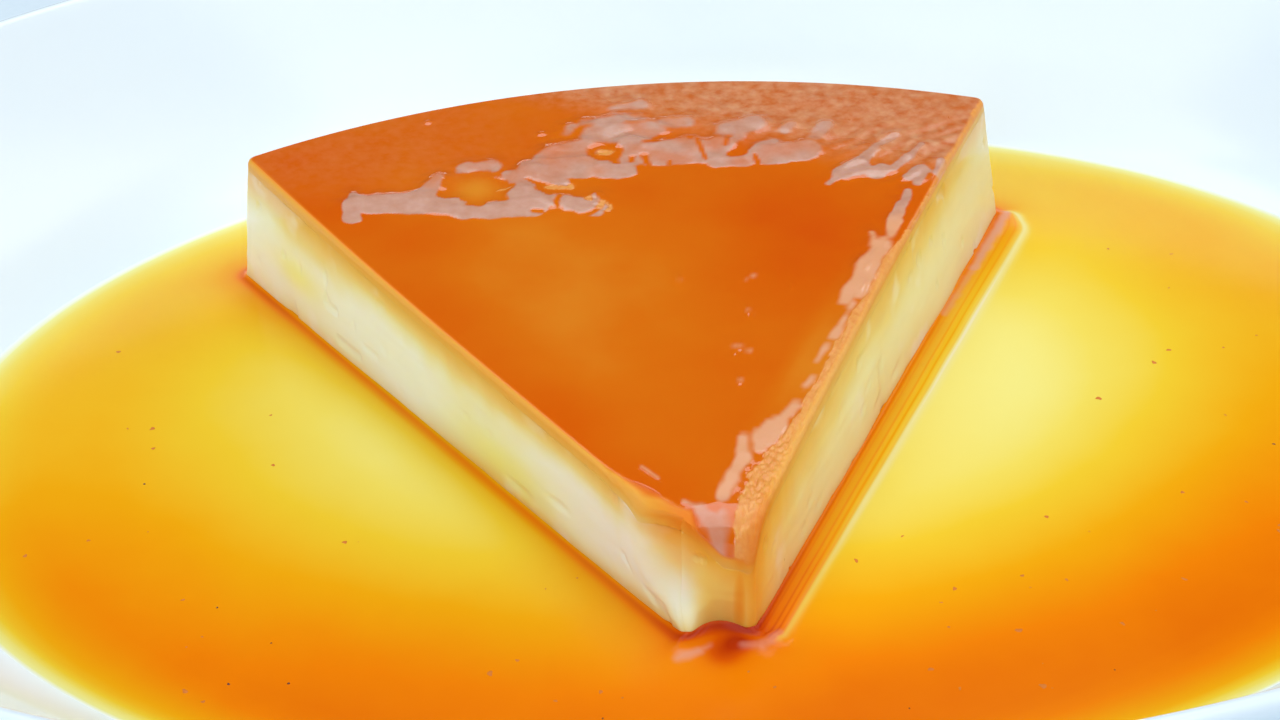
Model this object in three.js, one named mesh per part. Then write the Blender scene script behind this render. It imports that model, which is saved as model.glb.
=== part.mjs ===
// A slice of creme caramel flan on an oval porcelain plate, in a pool of caramel sauce.
// Millimetres, +Z up. The origin is on the table under the middle of the plate, and X runs
// along the plate's long axis. The slice points towards -Y.

import * as THREE from "three";

// Clearance between neighbouring solids.
const CLEARANCE = 0.3;

// The plate. Radii are taken along X, and the whole plate is narrowed along Y.
const PLATE_LENGTH = 284;
const PLATE_WIDTH = 212;
const PLATE_WALL = 4.4; // thickness of the porcelain
const LIP_THICKNESS = 3.6;
const WELL_FLOOR = 6.7; // height of the lowest ring of the well
const DOME_RISE = 2.9; // the middle of the well stands over that ring
const DOME_FLAT_RADIUS = 40;
const DOME_EDGE_RADIUS = 86;
const WALL_START_RADIUS = 91;
const WALL_BEND = 26; // length over which the wall turns up
const WALL_SLOPE = 1.0; // rise over run of the straight wall above the bend
const FOOT_RADIUS = 80;
const FOOT_WIDTH = 7;
const FOOT_DRAFT = 2; // the foot's sides slope by this

// The sauce.
const SAUCE_LEVEL = 10.8;
const MENISCUS_RISE = 0.9; // how far the sauce climbs the slice
const MENISCUS_REACH = 1.5; // how far out that climb is felt
const BEAD_RISE = 0.4; // a swollen bead of sauce along the right cut
const BEAD_OFFSET = 3.2;
const BEAD_WIDTH = 1.2;

// The slice, cut from a flan turned out of a round tapered pan. Its frame has its origin
// on the pan's axis at the sauce's level, and Y runs back along the slice.
const PAN_RADIUS = 110; // at the flan's top
const PAN_TAPER = 7; // the flan is this much wider at the sauce's level
const REAR_HEIGHT = 22.6;
const TIP_HEIGHT = 14.8; // the thin end has slumped
const LEFT_CUT_ANGLE = 30.7;
const RIGHT_CUT_ANGLE = 30.1;
const RIGHT_LEAN_ANGLE = 1.0; // the right cut leans in by this at the top
const CUT_BOW = 1.0; // the top of both cuts is bowed to the left by this
const PAN_AXIS = new THREE.Vector2(-6.6, -57.8);

// The blunt nose that is left of the tip.
const NOSE_CUT = 6.9; // distance from the pan's axis
const NOSE_DENT = 1.9; // the foot of the nose is pressed in between its corners
const NOSE_DENT_HEIGHT = 4;
const NOSE_LEFT_ROUND = 5; // its left corner is melted round, except at its foot
const NOSE_DROP = 5.5; // the top rolls down over the nose by this
const NOSE_ROLL = 8; // along this length
const EDGE_ROUNDING = 0.7;
const NOSE_EDGE_ROUNDING = 2.2; // added near the nose, where the rim has melted
const NOSE_EDGE_REACH = 7;

// The caramel-stained top of the flan.
const TOP_LAYER = 1.8;
const SKIN_RELIEF = 0.35; // height of the waves in the skin
const SKIN_SMOOTH_END = 72; // the skin is smooth up to here along the slice
const SKIN_ROUGH_START = 104; // and fully uneven from here
const SKIN_SKEW = 0.5; // both come further forward towards the right
const SKIN_WAVES = [10, 12.5]; // wavelengths across and along
const PITS = [
  // x, y, radius, depth in the slice's frame
  [-22.8, 83.8, 5.0, 0.7],
  [-6.8, 87.2, 4.2, 0.5],
  [-5.1, 76.3, 3.0, 0.5],
  [18.4, 99.2, 4.6, 0.5],
];

// Fineness of the meshes: steps along each side of the slice and out over the sauce.
const NOSE_STEPS = 6;
const CUT_STEPS = 24;
const REAR_STEPS = 18;
const NOSE_FAN_ANGLE = 60; // the sauce's mesh fans out by this to each side of the nose
const SAUCE_NEAR_STEPS = [0, 0.7, 1.6, 2.6, 3.6, 5]; // distances from the slice
const SAUCE_FAR_STEPS = [0.15, 0.35, 0.6, 0.85]; // shares of the way from there to the edge
const CUSTARD_STEPS = [14, 22, 5]; // across, along and up
const TOP_STEPS = [24, 34, 1];
const PLATE_SEGMENTS = 64;
const DOME_STEPS = 7;
const BEND_STEPS = 7;
const LIP_STEPS = 5;
const LEAN_TURNS = 4;
const HALVINGS = 40;
const UNDERSIDE_STEPS = 8;

const ratio = PLATE_WIDTH / PLATE_LENGTH;
const { degToRad, lerp, smoothstep } = THREE.MathUtils;

// ---- the plate's surface, which everything else lies on ----

// Height of the glazed upper surface at a radius measured along X.
function wellHeight(radius) {
  const dome = DOME_RISE * (1 - smoothstep(radius, DOME_FLAT_RADIUS, DOME_EDGE_RADIUS));
  const out = Math.max(0, radius - WALL_START_RADIUS);
  const bend = Math.min(out, WALL_BEND);
  const wall = WALL_SLOPE * ((bend * bend) / (2 * WALL_BEND) + (out - bend));
  return WELL_FLOOR + dome + wall;
}

// The same at a point of the plan.
function plateTop(x, y) {
  return wellHeight(Math.hypot(x, y / ratio));
}

// Even steps from one number to another.
function steps(from, to, count) {
  return Array.from({ length: count + 1 }, (_, i) => lerp(from, to, i / count));
}

// Height of the plate's underside, which follows the upper surface at the wall's thickness.
function undersideHeight(radius) {
  const slope = wellHeight(radius + 0.5) - wellHeight(radius - 0.5);
  const thin = smoothstep(radius, WALL_START_RADIUS, PLATE_LENGTH / 2);
  return wellHeight(radius) - lerp(PLATE_WALL, LIP_THICKNESS, thin) * Math.hypot(1, slope);
}

// Half of the plate's cross-section, from the axis over the top, round the lip and back
// along the underside with its foot ring.
function plateProfile() {
  const slopeAngle = Math.atan(WALL_SLOPE);
  const lipRadius = LIP_THICKNESS / 2;
  const wallEnd = PLATE_LENGTH / 2 - lipRadius * (1 + Math.sin(slopeAngle));
  const bendEnd = WALL_START_RADIUS + WALL_BEND;
  const upperRadii = [
    0,
    ...steps(DOME_FLAT_RADIUS, DOME_EDGE_RADIUS, DOME_STEPS),
    ...steps(WALL_START_RADIUS, bendEnd, BEND_STEPS),
  ];
  const upper = upperRadii.map((r) => new THREE.Vector2(r, wellHeight(r)));
  const lipCentre = new THREE.Vector2(
    wallEnd + lipRadius * Math.sin(slopeAngle),
    wellHeight(wallEnd) - lipRadius * Math.cos(slopeAngle),
  );
  const lip = steps(Math.PI / 2 + slopeAngle, slopeAngle - Math.PI / 2, LIP_STEPS).map((angle) =>
    new THREE.Vector2(Math.cos(angle), Math.sin(angle)).multiplyScalar(lipRadius).add(lipCentre),
  );
  const footInner = FOOT_RADIUS - FOOT_WIDTH;
  const onUnderside = (r) => new THREE.Vector2(r, undersideHeight(r));
  const outside = steps(wallEnd - FOOT_DRAFT, FOOT_RADIUS + FOOT_DRAFT, UNDERSIDE_STEPS).map(onUnderside);
  const foot = [FOOT_RADIUS, footInner].map((r) => new THREE.Vector2(r, 0));
  const inside = steps(footInner - FOOT_DRAFT, DOME_FLAT_RADIUS, DOME_STEPS - 3).map(onUnderside);
  return [...upper, ...lip, ...outside, ...foot, ...inside, onUnderside(0)];
}

function plateGeometry() {
  const geometry = new THREE.LatheGeometry(plateProfile().reverse(), PLATE_SEGMENTS);
  geometry.rotateX(Math.PI / 2);
  geometry.scale(1, ratio, 1);
  return geometry;
}

// ---- the slice's form ----

// Plan position on the slice. across runs from -1 at the left cut to 1 at the right one,
// along from 0 at the nose to 1 at the rear, and z is the height over the sauce's level.
function slicePlan(across, along, z) {
  const rise = Math.min(z / REAR_HEIGHT, 1);
  const left = -degToRad(LEFT_CUT_ANGLE);
  const right = degToRad(RIGHT_CUT_ANGLE - RIGHT_LEAN_ANGLE * rise);
  const angle = lerp(left, right, (across + 1) / 2);
  const foot = Math.exp(-((Math.max(z, 0) / NOSE_DENT_HEIGHT) ** 2));
  const dent = NOSE_DENT * (1 - across * across) ** 2 * foot;
  const fromRight = (1 - across) / 2;
  const round = NOSE_LEFT_ROUND * (1 - Math.sqrt(1 - fromRight * fromRight)) * (1 - foot);
  const nose = (NOSE_CUT + dent + round) / Math.cos(angle);
  const rear = PAN_RADIUS + PAN_TAPER * (1 - rise);
  const radius = lerp(nose, rear, along);
  const bow = CUT_BOW * Math.sin(Math.PI * along) * rise;
  return new THREE.Vector2(radius * Math.sin(angle) - bow, radius * Math.cos(angle));
}

// How far a quarter-round of the given height and length has fallen at a distance from its edge.
function rollOff(distance, length, height) {
  const t = 1 - THREE.MathUtils.clamp(distance / length, 0, 1);
  return height * (1 - Math.sqrt(1 - t * t));
}

// Waves and pits in the flan's skin: it is smooth in the middle and uneven towards the rear.
function skinRelief(x, y) {
  const uneven = smoothstep(y + SKIN_SKEW * x, SKIN_SMOOTH_END, SKIN_ROUGH_START);
  const [waveAcross, waveAlong] = SKIN_WAVES.map((length) => (2 * Math.PI) / length);
  const waves = Math.sin(waveAcross * x) * Math.sin(waveAlong * (y - SKIN_SKEW * x));
  let height = SKIN_RELIEF * uneven * waves;
  for (const [px, py, radius, depth] of PITS) {
    const near = Math.hypot(x - px, y - py) / radius;
    height -= depth * Math.exp(-near * near * 2);
  }
  return height;
}

// Height of the flan's top over the sauce's level, without and with its edges and relief.
function rolledTop(p) {
  const base = lerp(TIP_HEIGHT, REAR_HEIGHT, p.length() / PAN_RADIUS);
  return base - rollOff(p.y - NOSE_CUT, NOSE_ROLL, NOSE_DROP);
}

function skinTop(p, across, along) {
  const fromNose = p.y - NOSE_CUT;
  const rounding = EDGE_ROUNDING + NOSE_EDGE_ROUNDING * Math.exp(-fromNose / NOSE_EDGE_REACH);
  const halfWidth = p.length() * Math.sin(degToRad(LEFT_CUT_ANGLE));
  const sideDrop = rollOff((1 - Math.abs(across)) * halfWidth, rounding, rounding);
  const rearDrop = rollOff((1 - along) * PAN_RADIUS, EDGE_ROUNDING, EDGE_ROUNDING);
  return rolledTop(p) - Math.max(sideDrop, rearDrop) + skinRelief(p.x, p.y);
}

// The plate's surface under a point of the slice's frame, as a height over the sauce's level.
function bedUnder(p) {
  return plateTop(p.x + PAN_AXIS.x, p.y + PAN_AXIS.y) + CLEARANCE - SAUCE_LEVEL;
}

// ---- closed meshes ----

// Steps from 0 to 1 that crowd towards both ends.
function crowded(count) {
  return Array.from({ length: count + 1 }, (_, i) => (1 - Math.cos((Math.PI * i) / count)) / 2);
}

function indexedGeometry(positions, indices) {
  const geometry = new THREE.BufferGeometry();
  geometry.setAttribute("position", new THREE.Float32BufferAttribute(positions, 3));
  geometry.setIndex(indices);
  return geometry;
}

// The skin of a block of cells. us, vs and ws are the grid's steps, and place gives the
// point at (u, v, w). Faces point outwards where u, v and w run along X, Y and Z.
function blockGeometry(us, vs, ws, place) {
  const positions = [];
  const indices = [];
  const ids = new Map();
  const vertex = (i, j, k) => {
    const key = `${i},${j},${k}`;
    if (!ids.has(key)) {
      ids.set(key, positions.length / 3);
      positions.push(...place(us[i], vs[j], ws[k]).toArray());
    }
    return ids.get(key);
  };
  // The two faces at the ends of one axis, with the other two axes running over them.
  const bothEnds = (countA, countB, last, at) => {
    for (let a = 0; a < countA; a++) {
      for (let b = 0; b < countB; b++) {
        for (const end of [0, last]) {
          const [p, q] = [at(a, b, end), at(a + 1, b, end)];
          const [r, s] = [at(a + 1, b + 1, end), at(a, b + 1, end)];
          if (end === last) indices.push(p, q, r, p, r, s);
          else indices.push(p, r, q, p, s, r);
        }
      }
    }
  };
  const [nu, nv, nw] = [us, vs, ws].map((ticks) => ticks.length - 1);
  bothEnds(nu, nv, nw, (i, j, k) => vertex(i, j, k));
  bothEnds(nv, nw, nu, (j, k, i) => vertex(i, j, k));
  bothEnds(nw, nu, nv, (k, i, j) => vertex(i, j, k));
  return indexedGeometry(positions, indices);
}

// A ring-shaped solid from closed loops of equally many points, the last joined to the first.
function ringGeometry(loops) {
  const count = loops[0].length;
  const positions = loops.flat().flatMap((p) => p.toArray());
  const indices = [];
  loops.forEach((_, row) => {
    const next = (row + 1) % loops.length;
    for (let i = 0; i < count; i++) {
      const j = (i + 1) % count;
      const [a, b, c, d] = [row * count + i, row * count + j, next * count + j, next * count + i];
      indices.push(a, b, c, a, c, d);
    }
  });
  return indexedGeometry(positions, indices);
}

// ---- the two layers of the slice ----

// A layer of the slice between two surfaces, each a function of the plan point, across and along.
function sliceLayer([acrossSteps, alongSteps, upSteps], lower, upper) {
  const us = crowded(acrossSteps).map((t) => 2 * t - 1);
  return blockGeometry(us, crowded(alongSteps), steps(0, 1, upSteps), (across, along, level) => {
    let z = 0;
    let plan = slicePlan(across, along, z);
    // The plan leans with height, so height and plan are worked out in turns.
    for (let turn = 0; turn < LEAN_TURNS; turn++) {
      z = lerp(lower(plan, across, along), upper(plan, across, along), level);
      plan = slicePlan(across, along, z);
    }
    return new THREE.Vector3(plan.x, plan.y, z);
  });
}

const stainedUnderside = (p) => rolledTop(p) - TOP_LAYER;
const custardTop = (p) => stainedUnderside(p) - CLEARANCE;

function custardGeometry() {
  return sliceLayer(CUSTARD_STEPS, bedUnder, custardTop);
}

function topLayerGeometry() {
  return sliceLayer(TOP_STEPS, stainedUnderside, skinTop);
}

// ---- the sauce ----

// The sauce's wall round the slice, clear of it, anticlockwise from the left nose corner, as
// points with outward directions. heightAt gives the height over the sauce's level at a point.
function sauceWall(heightAt) {
  const around = [];
  const walk = (count, side) => crowded(count).slice(0, -1).forEach((t) => around.push(side(t)));
  walk(NOSE_STEPS, (t) => [2 * t - 1, 0]);
  walk(CUT_STEPS, (t) => [1, t]);
  walk(REAR_STEPS, (t) => [1 - 2 * t, 1]);
  walk(CUT_STEPS, (t) => [-1, 1 - t]);
  const points = around.map(([across, along]) => {
    const atLevel = slicePlan(across, along, 0);
    return slicePlan(across, along, heightAt(atLevel));
  });
  return points.map((point, i) => {
    const [across, along] = around[i];
    const before = points.at(i - 1);
    const after = points[(i + 1) % points.length];
    const run = after.clone().sub(before).normalize();
    const normal = new THREE.Vector2(run.y, -run.x);
    // Over the nose the directions fan out evenly, so that its dent doesn't cross them.
    const fan = degToRad(across * NOSE_FAN_ANGLE);
    const out = along === 0 ? new THREE.Vector2(Math.sin(fan), -Math.cos(fan)) : normal;
    return { point: point.clone().addScaledVector(normal, CLEARANCE), across, out };
  });
}

// The pool's edge: the plan radius, along X, where the sauce runs out on the plate.
function poolRadius() {
  let [low, high] = [WALL_START_RADIUS, PLATE_LENGTH / 2];
  for (let i = 0; i < HALVINGS; i++) {
    const middle = (low + high) / 2;
    if (wellHeight(middle) + CLEARANCE < SAUCE_LEVEL) low = middle;
    else high = middle;
  }
  return low;
}

// How far the sauce's surface stands over its level at a distance from the slice.
function meniscus(distance, across) {
  const climb = MENISCUS_RISE * Math.exp(-distance / MENISCUS_REACH);
  const fromBead = (distance - BEAD_OFFSET) / BEAD_WIDTH;
  const bead = across === 1 ? BEAD_RISE * Math.exp(-fromBead * fromBead) : 0;
  return climb + bead;
}

// The pool's edge in the slice's frame, straight out from the plate's middle.
function poolEdge(p) {
  const onPlate = new THREE.Vector2(p.x, p.y).add(PAN_AXIS);
  const scale = poolRadius() / Math.hypot(onPlate.x, onPlate.y / ratio);
  return onPlate.multiplyScalar(scale).sub(PAN_AXIS);
}

// One surface of the sauce as loops round the slice, from its wall out to near the edge.
function sauceLoops(wall, height) {
  const offset = ({ point, out }, distance) => point.clone().addScaledVector(out, distance);
  const loop = (place, distance) =>
    wall.map((o) => {
      const p = place(o);
      return new THREE.Vector3(p.x, p.y, height(p, distance, o.across));
    });
  const near = SAUCE_NEAR_STEPS.map((distance) => loop((o) => offset(o, distance), distance));
  const far = SAUCE_FAR_STEPS.map((share) => {
    const place = (o) => {
      const start = offset(o, SAUCE_NEAR_STEPS.at(-1));
      return start.clone().lerp(poolEdge(start), share);
    };
    return loop(place, Infinity);
  });
  return [...near, ...far];
}

function sauceGeometry() {
  const surface = (p, distance, across) => meniscus(distance, across);
  const top = sauceLoops(sauceWall(() => MENISCUS_RISE), surface);
  const bottom = sauceLoops(sauceWall(bedUnder), bedUnder);
  const edge = top.at(-1).map((p) => {
    const onEdge = poolEdge(p);
    return new THREE.Vector3(onEdge.x, onEdge.y, 0);
  });
  return ringGeometry([...bottom, edge, ...top.reverse()]);
}

// ---- the assembled dessert ----

function mesh(name, geometry, color, roughness) {
  const material = new THREE.MeshStandardMaterial({ color, roughness, metalness: 0 });
  const made = new THREE.Mesh(geometry, material);
  made.name = name;
  return made;
}

const sliceFrame = new THREE.Group();
sliceFrame.position.set(PAN_AXIS.x, PAN_AXIS.y, SAUCE_LEVEL);
sliceFrame.add(
  mesh("custard", custardGeometry(), 0xe6dca6, 0.3),
  mesh("caramel_top", topLayerGeometry(), 0xd86c14, 0.15),
  mesh("caramel_sauce", sauceGeometry(), 0xeeae20, 0.05),
);

const dessert = new THREE.Group();
dessert.add(mesh("plate", plateGeometry(), 0xeef8fb, 0.12), sliceFrame);

export default dessert;
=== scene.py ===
"""A slice of creme caramel flan on an oval porcelain plate, in a pool of caramel sauce.

Everything is in metres, +Z up, in the frame of the construction model: the origin is on the
table under the middle of the plate and the slice points towards -Y. The slice has a frame of
its own, with its origin on the axis of the round pan at the sauce's level.
"""

from functools import partial
from math import atan, cos, pi, radians, sin

import bpy
import numpy as np
from bpy.props import FloatProperty, FloatVectorProperty, IntProperty, PointerProperty
from bpy.types import Operator, Panel, PropertyGroup
from mathutils import Matrix, Vector


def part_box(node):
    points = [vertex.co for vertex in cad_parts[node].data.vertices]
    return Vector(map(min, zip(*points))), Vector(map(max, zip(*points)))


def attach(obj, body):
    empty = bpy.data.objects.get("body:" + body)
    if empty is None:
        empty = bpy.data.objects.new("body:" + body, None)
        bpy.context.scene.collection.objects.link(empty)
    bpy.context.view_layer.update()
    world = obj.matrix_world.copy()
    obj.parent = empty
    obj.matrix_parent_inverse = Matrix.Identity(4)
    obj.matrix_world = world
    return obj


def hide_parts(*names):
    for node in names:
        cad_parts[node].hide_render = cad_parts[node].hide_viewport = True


bl_info = {
    "name": "Creme Caramel Flan",
    "version": (1, 0, 0),
    "blender": (4, 5, 0),
    "location": "3D View > Sidebar > Flan",
    "description": "Builds a slice of creme caramel on a plate and the studio round it",
    "category": "Add Mesh",
}

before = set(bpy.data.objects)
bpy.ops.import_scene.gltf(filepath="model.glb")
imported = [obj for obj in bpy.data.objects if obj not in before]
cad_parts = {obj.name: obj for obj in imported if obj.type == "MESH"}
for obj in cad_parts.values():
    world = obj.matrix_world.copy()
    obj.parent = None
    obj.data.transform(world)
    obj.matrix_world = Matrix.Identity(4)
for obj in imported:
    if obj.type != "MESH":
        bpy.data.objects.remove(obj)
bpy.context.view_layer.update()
PLATE_LOW, PLATE_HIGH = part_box("plate")

MM = 0.001

# The plate. Radii are taken along X, and the whole plate is narrowed along Y.
PLATE_LENGTH = PLATE_HIGH.x - PLATE_LOW.x
PLATE_WIDTH = PLATE_HIGH.y - PLATE_LOW.y
PLATE_WALL = 4.4 * MM
LIP_THICKNESS = 3.6 * MM
WELL_FLOOR = 6.7 * MM
DOME_RISE = 2.9 * MM
DOME_FLAT_RADIUS = 40 * MM
DOME_EDGE_RADIUS = 86 * MM
WALL_START_RADIUS = 91 * MM
WALL_BEND = 26 * MM
WALL_SLOPE = 1.0
FOOT_RADIUS = 80 * MM
FOOT_WIDTH = 7 * MM
FOOT_DRAFT = 2 * MM
FOOT_EDGE = 0.9 * MM  # rounding of the foot ring's edges
FOOT_TUCK = 0.2  # share of it by which the ring's sides are drawn in

# The sauce.
SAUCE_LEVEL = 10.8 * MM
MENISCUS_RISE = 0.35 * MM
MENISCUS_REACH = 0.5 * MM
NOSE_MENISCUS_RISE = 0.55 * MM  # added round the nose
NOSE_MENISCUS_REACH = 1.4 * MM
BEAD_RISE = 0.32 * MM
BEAD_OFFSET = 2.7 * MM
BEAD_WIDTH = 1.3 * MM
SAUCE_INSET = 0.25 * MM  # the sauce reaches into the custard, so that no gap shows
NOSE_FADE = 0.02  # share of the slice's length over which the nose's traits fade at its foot
NOSE_FAN = 60  # degrees to each side over which the sauce's loops fan out at the nose
CURL_START = 0.95  # share of the length from where the lines beside the right cut curl in

# The slice.
PAN_AXIS = (-6.6 * MM, -57.8 * MM)
PAN_RADIUS = 110 * MM
PAN_TAPER = 7 * MM
REAR_HEIGHT = 22.6 * MM
TIP_HEIGHT = 14.8 * MM
LEFT_CUT_ANGLE = 30.7
RIGHT_CUT_ANGLE = 30.1
RIGHT_LEAN_ANGLE = 1.0
CUT_BOW = 1.0 * MM
NOSE_CUT = 6.9 * MM
NOSE_DENT = 1.9 * MM
NOSE_DENT_HEIGHT = 4 * MM
NOSE_LEFT_ROUND = 5 * MM
NOSE_DROP = 6.4 * MM
NOSE_ROLL = 4.9 * MM
EDGE_ROUNDING = 0.7 * MM
LEFT_BAND = 0.9 * MM  # width of stained custard that shows along the top's left edge
NOSE_LEFT_BAND = 3.1 * MM  # and at the nose, where the edge rolls down by the next
NOSE_LEFT_DROP = 2.6 * MM
NOSE_BAND_START = 11 * MM
NOSE_BAND_END = 21 * MM
TOP_LAYER = 1.8 * MM  # thickness of the skin
TOP_STAIN = 0.9  # stain of the custard under it
REAR_CORNER = 1.4 * MM  # the upright corners are rounded by these
NOSE_RIGHT_CORNER = 0.8 * MM
NOSE_LEFT_CORNER = 4.0 * MM
NOSE_FOOT_CORNER = 0.6 * MM

# Fineness of the meshes. The plate's profile has these numbers of points along its flat, dome,
# wall, lip, underside, quarters of the foot ring, and underside within it.
PLATE_SEGMENTS = 320
PLATE_POINTS = (12, 36, 34, 18, 40, 6, 30)
ACROSS_STEPS = 286
ALONG_STEPS = 290
WALL_LEVELS = 38
LEAN_TURNS = 4
STEP_SHARES = (0, 0.05, 0.24, 0.42, 0.94, 1)  # shares of the steps along the slice
STEP_PLACES = (0, 0.01, 0.16, 0.60, 0.985, 1)  # and where they have got to
CAP_SHARES = (0.96, 0.7, 0.35, 0.0)  # sizes of the rings in a lid
CAP_POLE = 0.55  # where they close, as a share of the slice's length
SKIN_LEVELS = (0.0, 0.33, 0.66)  # heights of the loops in the skin's sides, as shares
SKIN_PLANS = (0.0, 0.35, 0.7)  # and the shares for which their plan is taken
EDGE_SEARCH_STEPS = 20001  # for the radius at which the sauce runs out
LATTICE = 256  # cells of random values before a noise repeats
LARGEST_PEBBLE = 0.8  # radius of a grain, as a share of its cell
WELD = 1e-7  # points in the same cell of this size become one
WELD_SHIFT = 0.123  # keeps round coordinates off the border between two cells
TINY = 1e-12  # keeps divisions and logarithms away from zero

# Flecks in the sauce.
FLECK_SEGMENTS = 10
FLECK_RINGS = 9
FLECK_TRIES = 20  # random places for each, of which the first that fit are kept
CLEAR_ANGLE = 37  # degrees to each side of the slice's middle that are kept clear
CLEAR_REACH = 126 * MM  # up to this distance from the pan's axis


# ---- plain functions of numbers and arrays ----


def lerp(a, b, t):
    """The value at share t of the way from a to b."""
    return a + (b - a) * t


def smoothstep(v, low, high):
    """0 below low, 1 above high, and 3t^2 - 2t^3 in between."""
    t = np.clip((v - low) / (high - low), 0, 1)
    return t * t * (3 - 2 * t)


def bump(distance, width):
    """A bell of height 1: exp(-(distance / width)^2)."""
    return np.exp(-((distance / width) ** 2))


def roll_off(distance, length, height):
    """How far a quarter-round has fallen at a distance from its edge."""
    t = 1 - np.clip(distance / length, 0, 1)
    return height * (1 - np.sqrt(1 - t * t))


def noise(x, y, size, seed):
    """Random heights from -1 to 1 on a square lattice of the given cell size, blended by a
    smoothstep between the four nearest."""
    heights = np.random.default_rng(seed).uniform(-1, 1, (LATTICE, LATTICE))
    i, j = np.floor(x / size).astype(int), np.floor(y / size).astype(int)
    a, b = smoothstep(x / size - i, 0, 1), smoothstep(y / size - j, 0, 1)

    def corner(di, dj):
        return heights[(i + di) % LATTICE, (j + dj) % LATTICE]

    return lerp(lerp(corner(0, 0), corner(1, 0), a), lerp(corner(0, 1), corner(1, 1), a), b)


def pebbles(x, y, size, seed):
    """Heights from 0 to 1 of round grains: one grain sits at a random place in each cell of a
    square lattice, and the highest half-dome over a point counts."""
    random = np.random.default_rng(seed).uniform(0, 1, (3, LATTICE, LATTICE))
    i, j = np.floor(x / size).astype(int), np.floor(y / size).astype(int)
    height = np.zeros(np.shape(x))
    for di in (-1, 0, 1):
        for dj in (-1, 0, 1):
            at = ((i + di) % LATTICE, (j + dj) % LATTICE)
            dx = x / size - (i + di + random[0][at])
            dy = y / size - (j + dj + random[1][at])
            radius = lerp(0.45, LARGEST_PEBBLE, random[2][at])
            dome = np.sqrt(np.clip(1 - (dx * dx + dy * dy) / radius**2, 0, 1)) * radius
            height = np.maximum(height, dome)
    return height / LARGEST_PEBBLE


def away_from(x, y, px, py):
    """Distance from a spot that is given in millimetres."""
    return np.hypot(x - px * MM, y - py * MM)


def inside_bar(x, y, bar):
    """How far a point lies inside a round-ended bar, negative outside. The bar runs from a to b
    and is given in millimetres."""
    ax, ay, bx, by, radius = (v * MM for v in bar)
    length2 = (bx - ax) ** 2 + (by - ay) ** 2
    t = np.clip(((x - ax) * (bx - ax) + (y - ay) * (by - ay)) / max(length2, TINY), 0, 1)
    return radius - np.hypot(x - lerp(ax, bx, t), y - lerp(ay, by, t))


def crowded(count, share=0.5):
    """Steps from 0 to 1: this share of them crowds towards both ends as a cosine does."""
    t = np.linspace(0, 1, count + 1)
    return lerp(t, (1 - np.cos(pi * t)) / 2, share)


# ---- meshes from arrays ----


def mesh_piece(name, patches, attributes=None, sharp=180):
    """One closed mesh from grids of points. A patch is (points, wraps, flips): points has rows,
    columns and three coordinates, and its faces look along column x row. wraps joins the last
    column to the first. Equal points are merged, and a quad pinched by a pole becomes a
    triangle. Edges that turn by more than sharp, in degrees, aren't shaded smooth."""
    quads, start = [], 0
    for points, wraps, flips in patches:
        rows, columns = points.shape[:2]
        ids = start + np.arange(rows * columns).reshape(rows, columns)
        start += rows * columns
        if wraps:
            ids = np.concatenate([ids, ids[:, :1]], axis=1)
        corners = [ids[:-1, :-1], ids[:-1, 1:], ids[1:, 1:], ids[1:, :-1]]
        faces = np.stack(corners, axis=-1).reshape(-1, 4)
        quads.append(faces[:, ::-1] if flips else faces)
    points = np.concatenate([p.reshape(-1, 3) for p, _, _ in patches])
    keys = np.round(points / WELD + WELD_SHIFT).astype(np.int64)
    _, first, ids = np.unique(keys, axis=0, return_index=True, return_inverse=True)
    quads = ids.reshape(-1)[np.concatenate(quads)]
    same = quads == np.roll(quads, -1, axis=1)
    whole = quads[same.sum(axis=1) == 0]
    pinched = quads[same.sum(axis=1) == 1]
    kept = np.array([[1, 2, 3], [0, 2, 3], [0, 1, 3], [0, 1, 2]])
    drop = np.argmax(pinched == np.roll(pinched, -1, axis=1), axis=1)
    triangles = np.take_along_axis(pinched, kept[drop], axis=1)
    mesh = bpy.data.meshes.new(name)
    mesh.from_pydata(points[first].tolist(), [], whole.tolist() + triangles.tolist())
    for key, values in (attributes or {}).items():
        layer = mesh.attributes.new(key, "FLOAT", "POINT")
        layer.data.foreach_set("value", values[first].astype(np.float32))
    if mesh.validate():
        raise RuntimeError(f"{name} has faces that Blender had to mend")
    mesh.shade_smooth()
    if sharp < 180:
        mesh.set_sharp_from_angle(angle=radians(sharp))
    piece = bpy.data.objects.new(name, mesh)
    bpy.context.scene.collection.objects.link(piece)
    return piece


def finish_piece(piece, material, slot, *nodes):
    """Gives a piece its material, sets it on the frame and hides what it stands for; slot is not
    used.
    """
    piece.data.materials.append(material)
    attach(piece, "root")
    if nodes:
        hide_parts(*nodes)


def to_frame(x, y, z):
    """Points of the slice's frame as one array in the model's frame."""
    parts = np.broadcast_arrays(x + PAN_AXIS[0], y + PAN_AXIS[1], z + SAUCE_LEVEL)
    return np.stack(parts, axis=-1)


def joined(*grids):
    """The values of several grids in one row, in the order of their points."""
    return np.concatenate([np.ravel(grid) for grid in grids])


# ---- the plate ----


def well_height(radius):
    """The glazed upper surface: a flat dome that falls by a smoothstep to the ring of the well,
    then a parabola that turns up into a straight sloping wall."""
    dome = DOME_RISE * (1 - smoothstep(radius, DOME_FLAT_RADIUS, DOME_EDGE_RADIUS))
    out = np.maximum(0, radius - WALL_START_RADIUS)
    bend = np.minimum(out, WALL_BEND)
    return WELL_FLOOR + dome + WALL_SLOPE * (bend * bend / (2 * WALL_BEND) + (out - bend))


def plate_top(x, y):
    """The same at a point of the plan, where the plate is an ellipse."""
    return well_height(np.hypot(x, y * PLATE_LENGTH / PLATE_WIDTH))


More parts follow.
